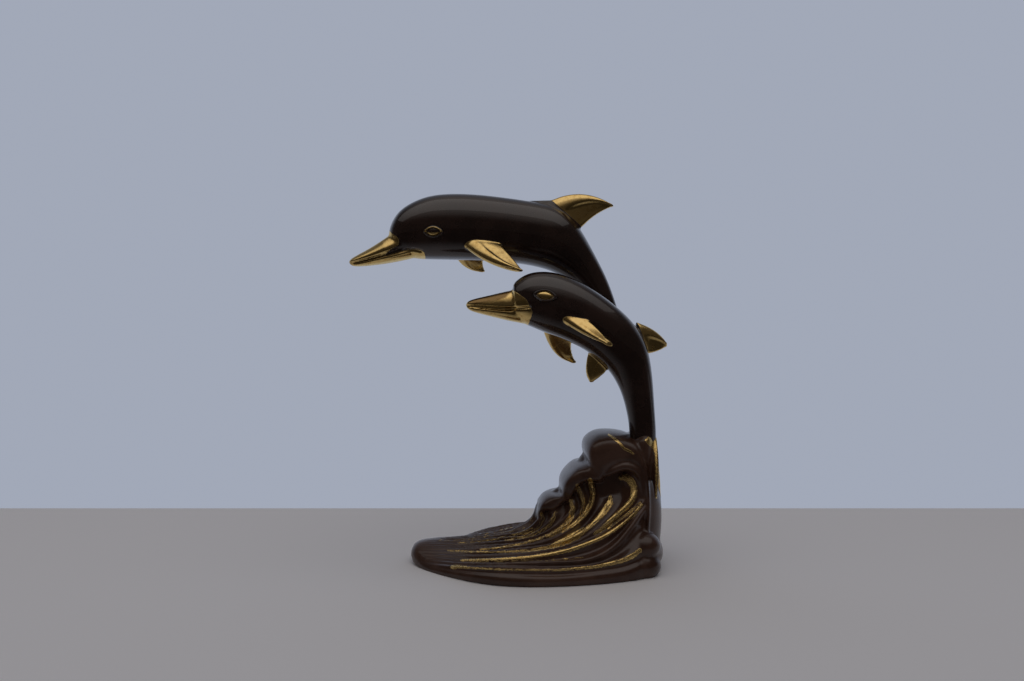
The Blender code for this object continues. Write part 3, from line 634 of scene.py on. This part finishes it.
# gilded strokes on the near side as they stand in the picture: x, y and half width in pixels,
# then how worn the stroke is
strokes = {
    "footRidge": ([(452.5, 567.5, 2.1), (460, 567, 1.6), (472, 568.5, 0.9), (500, 570, 0.8),
                   (555, 570.8, 1.0),
                   (596, 567.5, 1.7), (623, 561, 2.4), (633, 556.5, 2.6), (640, 551, 2.2)], 0.26),
    "thinLine": ([(461, 562.3, 0.9), (500, 562, 0.9), (540, 561, 0.9), (583, 558, 0.8)], 0.38),
    "secondRidge": ([(461, 560.5, 0.8), (500, 559.5, 1.1), (530, 557.5, 1.5), (550, 554.5, 1.9),
                     (570, 550.5, 2.0), (585, 545, 1.9), (600, 539, 1.8), (612, 532, 1.8),
                     (625, 523, 1.6), (635, 514, 1.6), (642, 505, 1.2)], 0.16),
    "secondRidgeUpper": ([(640, 503, 1.2), (632, 511, 1.5), (620, 520, 1.5), (608, 528.5, 1.2)], 0.32),
    "curl": ([(621, 478, 2.2), (626, 477.5, 3.6), (630.5, 481, 3.6), (634, 487, 3.3), (634, 496, 3.2),
              (630, 503, 3.0), (622, 511, 3.0), (615, 517, 2.8), (608, 524, 2.6), (603, 529, 2.2),
              (595, 534, 1.4)], 0.24),
    "fourth": ([(610.5, 497, 1.8), (610, 503, 3.2), (605, 511, 3.2), (598, 519, 2.6), (592, 525, 2.0),
                (585, 530, 2.8), (577, 535.5, 4.2), (568, 540, 4.4), (558, 544.5, 3.2), (550, 547.5, 1.6),
                (530, 551, 1.2), (500, 552.5, 0.8), (470, 552, 0.8), (448, 551, 0.7)], 0.26),
    "fifth": ([(590, 480, 2.2), (592, 487, 2.8), (593, 495, 2.6), (591, 504, 2.4), (586, 513, 2.4),
               (580, 520, 2.4), (572, 526, 1.8), (562, 532, 1.2)], 0.28),
    "fifthInner": ([(577, 485, 1.6), (580, 492, 2.4), (583, 500, 2.2), (583, 508, 1.8),
                    (581, 515, 1.6)], 0.34),
    "sixth": ([(571, 501, 1.8), (573, 508, 2.6), (571, 517, 2.8), (567, 524, 2.8), (560, 530, 2.6),
               (551, 535.5, 2.2), (540, 539, 1.2), (520, 544.5, 1.1), (500, 548, 1.0),
               (480, 550, 0.8)], 0.30),
    "seventh": ([(556, 512, 1.2), (554, 518, 2.0), (549, 526, 1.8), (542, 531, 1.6), (532, 535.5, 1.2),
                 (520, 538.5, 1.0), (505, 541, 0.8)], 0.34),
    "eighth": ([(541, 513, 1.2), (543, 519, 1.6), (540, 526, 1.3), (533, 532, 1.4), (523, 536, 1.8),
                (512, 538, 0.8)], 0.36),
    "ninth": ([(532, 529, 1.0), (515, 535, 1.1), (495, 539.5, 1.1), (470, 542.5, 1.0),
               (458, 543.5, 1.0)], 0.36),
    "tenth": ([(524, 528, 1.0), (500, 534, 1.0), (475, 538.5, 1.0), (438, 541.5, 1.0)], 0.40),
    "eleventh": ([(531, 513, 1.0), (532.5, 519, 1.1), (529, 526, 1.0)], 0.4),
    "topLobe": ([(608.5, 434.5, 0.9), (614, 438, 1.2), (620, 443.5, 1.3), (625, 449, 1.3),
                 (633.5, 453.5, 0.9)], 0.1),
    "topLobeUpper": ([(611, 433.8, 0.8), (619, 436.5, 1.2), (626, 440.5, 1.4), (631, 446, 1.0)], 0.5),
}
gildedFluke = [(644.4, 440.5), (648, 437), (652, 434), (655, 430), (657.6, 430), (657.8, 470),
               (657.2, 499), (655.9, 499), (655.7, 470), (655.0, 455), (653.5, 449), (649, 445.5)]


def fluteForm(name):
    foot = [(x, y, 0.0) for x, y in wave["foot"][2:]]
    lines = [foot] + wave["ridges"]
    ridges = len(lines) - 1
    nose = np.array((wave["foot"][0][0], 0.0, wave["noseHeight"]))
    heart = np.array(wave["heart"])
    (noseX, noseHalf), noseTop = wave["noseRing"]
    tracks = []
    for r, line in enumerate(lines):
        turn = math.pi / 2 * r / ridges
        start = (noseX, -noseHalf * math.cos(turn), noseTop * math.sin(turn))
        tucked = np.array(line[-1]) * 0.6 + heart * 0.4
        tracks.append(smoothTrack([nose, start] + line + [tucked]))
    perRidge = 10
    columns = ridges * perRidge
    rows = 200
    grid = np.zeros((rows + 1, columns + 1, 3))
    for k in range(rows + 1):
        across = smoothTrack([track(k / rows) for track in tracks])
        for c in range(columns + 1):
            grid[k, c] = across(c / columns)
    spread = perRidge // 2
    reach = 9
    shaped = grid.copy()
    for k in range(1, rows + 1):
        flow = grid[min(k + reach, rows)] - grid[max(k - reach, 0)]
        fade = ease(0.08, 0.34, k / rows)
        for c in range(columns + 1):
            left, right = grid[k, max(c - spread, 0)], grid[k, min(c + spread, columns)]
            normal = np.cross(right - left, flow[c])
            normal = normal / max(np.linalg.norm(normal), 1e-9)
            room = min(1.0, np.linalg.norm(right - left) / wave["fluteSpacing"])
            ridge = c / perRidge
            swell = math.cos(2 * math.pi * ridge) * ease(1.0, 2.0, ridge)
            shaped[k, c] = grid[k, c] - normal * swell * room * fade * wave["fluteDepth"]
    shaped[:, -1, 1] = 0.0
    segments = 2 * columns + 1

    def place(along, around):
        if along < 1e-4:
            return Vector(nose)
        if along > 0.9999:
            return Vector(heart)
        c = int(round(around / (2 * math.pi) * segments)) % segments
        k = int(round(along * rows))
        if c <= columns:
            return Vector(shaped[k, c])
        x, y, z = shaped[k, 2 * columns - c]
        return Vector((x, -y, z))

    return shapedBall(name, segments, rows, place)


def betweenForm(name, upper, lower, halfWidths, fullness, sides, rings, dome=0.0):
    surface = formBetween(upper, lower, [0.0, 0.0], halfWidths, fullness)

    def place(along, around):
        if along < 1e-4 or along > 0.9999:
            return surface(round(along), 0, 0)
        if along < dome:
            return surface(along, math.degrees(around), math.sqrt(1 - (1 - along / dome) ** 2))
        return surface(along, math.degrees(around))

    return shapedBall(name, sides, rings, place)


def rollForm(name, points, radius):
    # a round roll along the points, drawn to nothing at both ends
    track = smoothTrack(points)

    def place(along, around):
        middle = Vector(track(along))
        if along < 1e-4 or along > 0.9999:
            return middle
        run = Vector(track(min(along + 0.02, 1.0)) - track(max(along - 0.02, 0.0))).normalized()
        aside = run.cross(Vector((0, 1, 0))).normalized()
        outward = run.cross(aside)
        size = radius * math.sin(math.pi * along) ** 0.5
        return middle + (aside * math.cos(around) + outward * math.sin(around)) * size

    return shapedBall(name, 20, 48, place)


def makeHollow():
    outline = smoothTrack(wave["foot"] + [wave["hollowRear"]])
    steps = 40
    near = [outline(i / steps) for i in range(steps + 1)]
    plan = near + [np.array((p[0], -p[1])) for p in near[-2:0:-1]]
    centre = np.array(wave["hollowMiddle"])
    levels = wave["hollowSteps"]

    def place(along, around):
        i = int(round(around / (2 * math.pi) * len(plan))) % len(plan)
        k = int(round(along * (len(levels) + 1)))
        if k == 0 or k == len(levels) + 1:
            return Vector((*wave["hollowMiddle"], levels[0 if k == 0 else -1][0]))
        height, drawn = levels[k - 1]
        away = plan[i] - centre
        reach = np.linalg.norm(away)
        slanted = 1 + wave["hollowSlant"] * (away[0] / reach) ** 2
        q = centre + away * (1 - drawn * slanted / reach)
        return Vector((q[0], q[1], height))

    return shapedBall("hollowCutter", len(plan), len(levels) + 1, place)


def makeWave():
    forms = [fluteForm("flutes"),
             betweenForm("back", wave["backRear"], wave["backFront"], wave["backHalfWidth"],
                         1.0, 64, 60, wave["backDome"]),
             betweenForm("crest", wave["crestOuter"], wave["crestInner"], wave["crestHalfWidth"],
                         wave["crestFullness"], 72, 220)]
    for name, (centre, halfSizes) in wave["masses"].items():
        forms.append(plainBall(name, centre, halfSizes))
    for side in (1, -1):
        for (x, y, z), halfSizes in wave["knobs"]:
            forms.append(plainBall(f"knob{len(forms)}", (x, y * side, z), halfSizes))
        forms.append(rollForm(f"lip{side}", [(x, y * side, z) for x, y, z in wave["lip"]], wave["lipRadius"]))
        for name, points in wave["flukes"].items():
            forms.append(finForm(f"{name}Fluke{side}", [(px, py * side, pz) for px, py, pz in points],
                                 wave["flukeSection"], 1.2))
    flukeTrees = [treeOf(form) for form in forms if "inner" in form.name]
    restTrees = [treeOf(form) for form in forms if form.name in ("back", "crest", "core")]
    whole = cast("breakingWave", forms, casting["waveVoxel"], casting["waveFillet"])
    bpy.context.view_layer.objects.active = whole
    bpy.ops.object.mode_set(mode="EDIT")
    bpy.ops.mesh.select_all(action="SELECT")
    bpy.ops.mesh.bisect(plane_co=(0, 0, 0), plane_no=(0, 0, 1), use_fill=True, clear_inner=True)
    bpy.ops.object.mode_set(mode="OBJECT")
    hollow = makeHollow()
    applyModifier(whole, "BOOLEAN", operation="DIFFERENCE", object=hollow, solver="EXACT")
    bpy.data.objects.remove(hollow)
    co = coordinates(whole)
    spots = asSeen(co)
    inside, worn = np.full(len(co), -paintedReach), np.zeros(len(co))
    grain = np.zeros((len(co), 3))
    for line, wear in strokes.values():
        distance, along, side, width = toStroke(spots, line)
        depth = (width - distance) * view["mmPerPixel"]
        better = depth > inside
        inside[better] = depth[better]
        worn[better] = wear
        # streaks run long along a stroke and short across it
        apart = np.full(len(along), float(len(line)))
        grain[better] = np.stack([along * 0.09, side * 0.8, apart], 1)[better]
    sideways = (np.abs(normalsOf(whole)[:, 1]) > 0.2) & (np.abs(co[:, 1]) > 5.0)
    onFluke = inArea(spots, gildedFluke) * view["mmPerPixel"]
    inside = np.maximum(inside, np.where(sideways, onFluke, -paintedReach))
    # the two inner blades at the back are gilded all over
    for i in np.nonzero((co[:, 0] > 74.0) & (co[:, 2] > 28.0))[0]:
        nearFluke = min(tree.find_nearest(co[i])[3] for tree in flukeTrees)
        if nearFluke < 2.5:
            nearRest = min(tree.find_nearest(co[i])[3] for tree in restTrees)
            inside[i] = max(inside[i], min(nearRest - nearFluke - 0.1, paintedReach))
            worn[i] = 0.15
            grain[i] = (co[i, 2] * 0.12, co[i, 1] * 0.8, 3.0)
    # the far side's strokes stop short of the low front's outline
    k = (view["distance"] + co[:, 1]) / view["focal"]
    across, down = view["centre"][0] + co[:, 0] / k, view["centre"][1] + (view["height"] - co[:, 2]) / k
    outline = np.interp(across, *zip(*wave["lowFrontOutline"]), left=0.0, right=0.0)
    far = co[:, 1] > 0.5
    inside[far] -= 5 * easeAll(3.5, 1.5, (down - outline)[far])
    paint(whole, inside, worn, grain)
    return whole


def settle(piece):
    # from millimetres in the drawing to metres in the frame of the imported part
    co = coordinates(piece)
    co[:, 0] += originShift
    setCoordinates(piece, co * mm)
    deselect()
    piece.select_set(True)
    bpy.context.view_layer.objects.active = piece
    bpy.ops.object.shade_smooth()


# finishes

def newGroup(name, inputs, outputs):
    group = bpy.data.node_groups.new(name, "ShaderNodeTree")
    for title, kind, value in inputs:
        socket = group.interface.new_socket(title, in_out="INPUT", socket_type=kind)
        if value is not None:
            socket.default_value = value
    for title, kind in outputs:
        group.interface.new_socket(title, in_out="OUTPUT", socket_type=kind)
    return group, group.nodes.new("NodeGroupInput"), group.nodes.new("NodeGroupOutput")


def node(tree, kind, **settings):
    made = tree.nodes.new(kind)
    for key, value in settings.items():
        if key.startswith("_"):
            made.inputs[key[1:].replace("_", " ")].default_value = value
        else:
            setattr(made, key, value)
    return made


def math2(tree, operation, a, b, clamp=False):
    made = tree.nodes.new("ShaderNodeMath")
    made.operation = operation
    made.use_clamp = clamp
    for index, value in enumerate((a, b)):
        if isinstance(value, (int, float)):
            made.inputs[index].default_value = value
        else:
            tree.links.new(value, made.inputs[index])
    return made.outputs[0]


def mix(tree, share, first, second, kind="RGBA"):
    # each of the three is a socket or a plain value
    made = node(tree, "ShaderNodeMix", data_type=kind)
    start, result = (6, 2) if kind == "RGBA" else (2, 0)
    for index, value in ((0, share), (start, first), (start + 1, second)):
        if isinstance(value, bpy.types.NodeSocket):
            tree.links.new(value, made.inputs[index])
        else:
            made.inputs[index].default_value = value
    return made.outputs[result]


def mapRange(tree, value, fromLow, fromHigh, toLow=0.0, toHigh=1.0, smooth=False):
    made = tree.nodes.new("ShaderNodeMapRange")
    if smooth:
        made.interpolation_type = "SMOOTHSTEP"
    tree.links.new(value, made.inputs["Value"])
    for title, setting in (("From Min", fromLow), ("From Max", fromHigh),
                           ("To Min", toLow), ("To Max", toHigh)):
        made.inputs[title].default_value = setting
    return made.outputs["Result"]


def raggedEdgeGroup():
    # turns the painted distance into gilding with a hand-laid edge and brush streaks worn through
    group, come, out = newGroup("raggedGilding", [
        ("Gilding", "NodeSocketFloat", 0.0), ("Wear", "NodeSocketFloat", 0.2),
        ("Place", "NodeSocketVector", None), ("Grain", "NodeSocketVector", None),
        ("Raggedness", "NodeSocketFloat", 0.12)],
        [("Mask", "NodeSocketFloat"), ("Streaks", "NodeSocketFloat")])
    links = group.links
    edge = node(group, "ShaderNodeTexNoise", _Scale=900.0, _Detail=3.0)
    links.new(come.outputs["Place"], edge.inputs["Vector"])
    streak = node(group, "ShaderNodeTexNoise", _Scale=1.6, _Detail=5.0, _Roughness=0.65)
    links.new(come.outputs["Grain"], streak.inputs["Vector"])
    offCentre = math2(group, "SUBTRACT", edge.outputs["Fac"], 0.5)
    wander = math2(group, "MULTIPLY", offCentre, come.outputs["Raggedness"])
    edged = mapRange(group, math2(group, "ADD", come.outputs["Gilding"], wander), 0.475, 0.535, smooth=True)
    lost = math2(group, "MULTIPLY", come.outputs["Wear"], 1.1)
    level = math2(group, "SUBTRACT", streak.outputs["Fac"], lost)
    kept = mapRange(group, level, 0.08, 0.2, smooth=True)
    links.new(math2(group, "MULTIPLY", edged, kept), out.inputs["Mask"])
    links.new(streak.outputs["Fac"], out.inputs["Streaks"])
    return group


def castSurfaceGroup():
    # the low waviness and fine pits of a hand-finished casting, as a height
    group, come, out = newGroup("castSurface", [
        ("Place", "NodeSocketVector", None), ("Waviness", "NodeSocketFloat", 0.5),
        ("Pits", "NodeSocketFloat", 0.2)], [("Height", "NodeSocketFloat")])
    links = group.links
    wavy = node(group, "ShaderNodeTexNoise", _Scale=95.0, _Detail=1.0)
    pitted = node(group, "ShaderNodeTexNoise", _Scale=1400.0, _Detail=2.0)
    for texture in (wavy, pitted):
        links.new(come.outputs["Place"], texture.inputs["Vector"])
    low = math2(group, "MULTIPLY", wavy.outputs["Fac"], come.outputs["Waviness"])
    pit = mapRange(group, pitted.outputs["Fac"], 0.35, 0.5)
    high = math2(group, "MULTIPLY", pit, come.outputs["Pits"])
    links.new(math2(group, "ADD", low, high), out.inputs["Height"])
    return group


def agedToneGroup():
    # slow drift between two tones, with fine specks
    group, come, out = newGroup("agedTone", [
        ("Place", "NodeSocketVector", None), ("Scale", "NodeSocketFloat", 60.0),
        ("Fresh", "NodeSocketColor", (1, 1, 1, 1)), ("Aged", "NodeSocketColor", (0.5, 0.5, 0.5, 1)),
        ("Share", "NodeSocketFloat", 0.5)], [("Colour", "NodeSocketColor"), ("Age", "NodeSocketFloat")])
    links = group.links
    patches = node(group, "ShaderNodeTexNoise", _Detail=6.0, _Roughness=0.6)
    links.new(come.outputs["Place"], patches.inputs["Vector"])
    links.new(come.outputs["Scale"], patches.inputs["Scale"])
    more = math2(group, "SUBTRACT", come.outputs["Share"], 0.5)
    shifted = math2(group, "ADD", patches.outputs["Fac"], more)
    age = mapRange(group, shifted, 0.35, 0.7, smooth=True)
    colour = mix(group, age, come.outputs["Fresh"], come.outputs["Aged"])
    links.new(colour, out.inputs["Colour"])
    links.new(age, out.inputs["Age"])
    return group


gilt = {
    "fresh": (0.87, 0.63, 0.25, 1),
    "aged": (0.66, 0.43, 0.14, 1),
    "agedShare": 0.42,
    "toneScale": 420.0,
    "paintedShadeTone": (0.13, 0.075, 0.035, 1),  # painted shade laid over the shaded parts of the beak's gilding
    "thickness": 0.35,  # over the enamel, as a share of the bump
}


def enamelledBrass(name, enamel, groups):
    material = bpy.data.materials.new(name)
    material.use_nodes = True
    tree = material.node_tree
    links = tree.links
    shader = tree.nodes["Principled BSDF"]
    shader.inputs["Coat Roughness"].default_value = enamel["coatRoughness"]
    shader.inputs["Coat IOR"].default_value = 1.55
    shader.inputs["IOR"].default_value = 1.5
    shader.inputs["Specular IOR Level"].default_value = 0.2
    place = node(tree, "ShaderNodeTexCoord").outputs["Object"]
    gilding = node(tree, "ShaderNodeAttribute", attribute_name="gilding").outputs["Fac"]
    wear = node(tree, "ShaderNodeAttribute", attribute_name="gildingWear").outputs["Fac"]
    grain = node(tree, "ShaderNodeAttribute", attribute_name="brushGrain").outputs["Vector"]

    ragged = node(tree, "ShaderNodeGroup", node_tree=groups["ragged"])
    for socket, source in (("Gilding", gilding), ("Wear", wear), ("Place", place), ("Grain", grain)):
        links.new(source, ragged.inputs[socket])
    ragged.inputs["Raggedness"].default_value = enamel["raggedness"]
    mask = ragged.outputs["Mask"]

    brown = node(tree, "ShaderNodeGroup", node_tree=groups["tone"])
    brown.inputs["Scale"].default_value = enamel["toneScale"]
    brown.inputs["Fresh"].default_value = enamel["fresh"]
    brown.inputs["Aged"].default_value = enamel["aged"]
    gold = node(tree, "ShaderNodeGroup", node_tree=groups["tone"])
    gold.inputs["Scale"].default_value = gilt["toneScale"]
    gold.inputs["Fresh"].default_value = gilt["fresh"]
    gold.inputs["Aged"].default_value = gilt["aged"]
    gold.inputs["Share"].default_value = gilt["agedShare"]
    surface = node(tree, "ShaderNodeGroup", node_tree=groups["cast"])
    surface.inputs["Waviness"].default_value = enamel["waviness"]
    surface.inputs["Pits"].default_value = enamel["pits"]
    for group in (brown, gold, surface):
        links.new(place, group.inputs["Place"])

    # painted shade: the gilding turns toward a dark tone where the painted shade attribute is set
    paintedShade = node(tree, "ShaderNodeAttribute", attribute_name="paintedShade").outputs["Fac"]
    goldColour = mix(tree, paintedShade, gold.outputs["Colour"], gilt["paintedShadeTone"])
    links.new(mix(tree, mask, brown.outputs["Colour"], goldColour), shader.inputs["Base Color"])
    links.new(mask, shader.inputs["Metallic"])
    enamelRough = mapRange(tree, brown.outputs["Age"], 0.0, 1.0, *enamel["roughness"])
    goldRough = mapRange(tree, gold.outputs["Age"], 0.0, 1.0, *enamel["goldRoughness"])
    links.new(mix(tree, mask, enamelRough, goldRough, "FLOAT"), shader.inputs["Roughness"])
    links.new(mapRange(tree, mask, 0.0, 1.0, enamel["coat"], 0.0), shader.inputs["Coat Weight"])
    uneven = math2(tree, "MULTIPLY", ragged.outputs["Streaks"], enamel["goldUneven"])
    laid = math2(tree, "MULTIPLY", mask, math2(tree, "ADD", uneven, gilt["thickness"]))
    height = math2(tree, "ADD", surface.outputs["Height"], laid)
    bump = node(tree, "ShaderNodeBump", _Strength=enamel["bump"], _Distance=0.0004)
    links.new(height, bump.inputs["Height"])
    links.new(bump.outputs["Normal"], shader.inputs["Normal"])
    return material


def makeFinishes():
    groups = {"ragged": raggedEdgeGroup(), "cast": castSurfaceGroup(), "tone": agedToneGroup()}
    dark = enamelledBrass("dolphinEnamel", {
        "fresh": (0.016, 0.008, 0.006, 1), "aged": (0.030, 0.014, 0.010, 1), "toneScale": 55.0,
        "roughness": (0.22, 0.34),
        "goldRoughness": (0.16, 0.32), "goldUneven": 0.0,
        "coat": 1.0, "coatRoughness": 0.06, "raggedness": 0.05, "waviness": 0.7, "pits": 0.05,
        "bump": 0.5}, groups)
    brown = enamelledBrass("waveEnamel", {
        "fresh": (0.046, 0.020, 0.012, 1), "aged": (0.082, 0.041, 0.027, 1), "toneScale": 55.0,
        "roughness": (0.30, 0.45),
        "goldRoughness": (0.20, 0.38), "goldUneven": 0.45,
        "coat": 0.6, "coatRoughness": 0.15, "raggedness": 0.22, "waviness": 0.8, "pits": 0.12,
        "bump": 0.6}, groups)
    return dark, brown


# floor, light and camera

studio = {
    "floorColour": (0.90, 0.92, 0.96, 1),
    "floorWidth": 4.0,
    "floorFrom": -1.6,  # metres in front of the figure and behind it
    "floorTo": 0.135,
    "floorFade": (0.02, -0.17),  # where its near part fades out of reflections, in metres
    "floorFaded": (0.05, 0.045, 0.04, 1),
    "wall": (0.36, 0.395, 0.48, 1),  # what stands behind, and its reflection
    "wallEdge": (0.1, 0.7),  # how far round from the back it fades out
    "wallDimmer": (0.40, 0.64, 1.0, 0.42),  # heights between which it dims, and its share of each
    "overhead": (0.40, 0.36, 0.34, 1),
    "overheadToward": (0.0, -0.25, 0.97),
    "overheadEdge": (0.60, 0.97),
    "room": (0.036, 0.031, 0.028, 1),  # the dim side that the camera looks from
    "lampPower": 3.3,
    "lampSize": (3.0, 1.1),
    "lampPlace": (-0.2, -0.35, 1.3),
    "lampColour": (1.0, 0.96, 0.94),
}


def makeStage():
    deselect()
    bpy.ops.mesh.primitive_plane_add(size=1.0, location=(0, 0, 0))
    floor = bpy.context.object
    floor.name = "floor"
    for vert in floor.data.vertices:
        y = studio["floorTo"] if vert.co.y > 0 else studio["floorFrom"]
        vert.co = (vert.co.x * studio["floorWidth"], y, 0.0)
    # the far edge is turned down a little and then runs straight down
    for edge in floor.data.edges:
        edge.select = all(floor.data.vertices[i].co.y > 0 for i in edge.vertices)
    bpy.ops.object.mode_set(mode="EDIT")
    bpy.ops.mesh.select_mode(type="EDGE")
    bpy.ops.mesh.extrude_region_move(TRANSFORM_OT_translate={"value": (0, 0.012, -0.02)})
    bpy.ops.mesh.extrude_region_move(TRANSFORM_OT_translate={"value": (0, 0.0, -0.5)})
    bpy.ops.object.mode_set(mode="OBJECT")
    material = bpy.data.materials.new("paleFloor")
    material.use_nodes = True
    tree = material.node_tree
    shader = tree.nodes["Principled BSDF"]
    shader.inputs["Roughness"].default_value = 0.95
    shader.inputs["Specular IOR Level"].default_value = 0.1
    # the near part of the floor fades out of reflections
    split = node(tree, "ShaderNodeSeparateXYZ")
    tree.links.new(node(tree, "ShaderNodeTexCoord").outputs["Object"], split.inputs[0])
    near = mapRange(tree, split.outputs["Y"], *studio["floorFade"], smooth=True)
    faded = math2(tree, "MULTIPLY", near, node(tree, "ShaderNodeLightPath").outputs["Is Glossy Ray"])
    colour = mix(tree, faded, studio["floorColour"], studio["floorFaded"])
    tree.links.new(colour, shader.inputs["Base Color"])
    floor.data.materials.append(material)

    # a bright ceiling, a pale wall behind and a dim room in front, blended by direction
    world = bpy.data.worlds.new("studio") if bpy.context.scene.world is None else bpy.context.scene.world
    bpy.context.scene.world = world
    world.use_nodes = True
    tree = world.node_tree
    direction = node(tree, "ShaderNodeTexCoord").outputs["Generated"]
    split = node(tree, "ShaderNodeSeparateXYZ")
    tree.links.new(direction, split.inputs[0])
    behind = mapRange(tree, split.outputs["Y"], *studio["wallEdge"], smooth=True)
    dimmer = mapRange(tree, split.outputs["Z"], *studio["wallDimmer"], smooth=True)
    toCeiling = node(tree, "ShaderNodeVectorMath", operation="DOT_PRODUCT")
    toCeiling.inputs[1].default_value = studio["overheadToward"]
    tree.links.new(direction, toCeiling.inputs[0])
    above = mapRange(tree, toCeiling.outputs["Value"], *studio["overheadEdge"], smooth=True)
    sides = mix(tree, math2(tree, "MULTIPLY", behind, dimmer), studio["room"], studio["wall"])
    whole = mix(tree, above, sides, studio["overhead"])
    # the camera sees the pale wall all round
    byCamera = node(tree, "ShaderNodeLightPath").outputs["Is Camera Ray"]
    seen = mix(tree, byCamera, whole, studio["wall"])
    tree.links.new(seen, tree.nodes["Background"].inputs["Color"])

    lamp = bpy.data.lights.new("overhead", "AREA")
    lamp.shape = "RECTANGLE"
    lamp.size, lamp.size_y = studio["lampSize"]
    lamp.energy = studio["lampPower"]
    lamp.color = studio["lampColour"]
    lampObject = bpy.data.objects.new("overhead", lamp)
    lampObject.location = studio["lampPlace"]
    bpy.context.scene.collection.objects.link(lampObject)


def makeCamera():
    lens = bpy.data.cameras.new("camera")
    lens.sensor_width = view["sensor"]
    lens.lens = view["focal"] / view["imageWidth"] * view["sensor"]
    lens.clip_start = 0.01
    camera = bpy.data.objects.new("camera", lens)
    camera.location = (originShift * mm, -view["distance"] * mm, view["height"] * mm)
    camera.rotation_euler = (math.radians(90 - view["pitch"]), 0, 0)
    bpy.context.scene.collection.objects.link(camera)
    bpy.context.scene.camera = camera
    bpy.context.scene.view_settings.view_transform = "Standard"


makeStage()
makeCamera()
print("stage, light and camera set")
darkEnamel, brownEnamel = makeFinishes()
large, largeSurface = makeDolphin(largeDolphin)
print("large dolphin:", len(large.data.polygons), "faces")
largeEyes = makeEyes("largeDolphinEyes", largeDolphin, largeSurface)
small, smallSurface = makeDolphin(smallDolphin)
print("small dolphin:", len(small.data.polygons), "faces")
smallEyes = makeEyes("smallDolphinEyes", smallDolphin, smallSurface)
waveBase = makeWave()
print("wave:", len(waveBase.data.polygons), "faces")

for piece, finish in ((large, darkEnamel), (largeEyes, darkEnamel), (small, darkEnamel),
                      (smallEyes, darkEnamel), (waveBase, brownEnamel)):
    settle(piece)
    piece.data.materials.clear()
    piece.data.materials.append(finish)
    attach(piece, "root")
    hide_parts("dolphin_figurine")
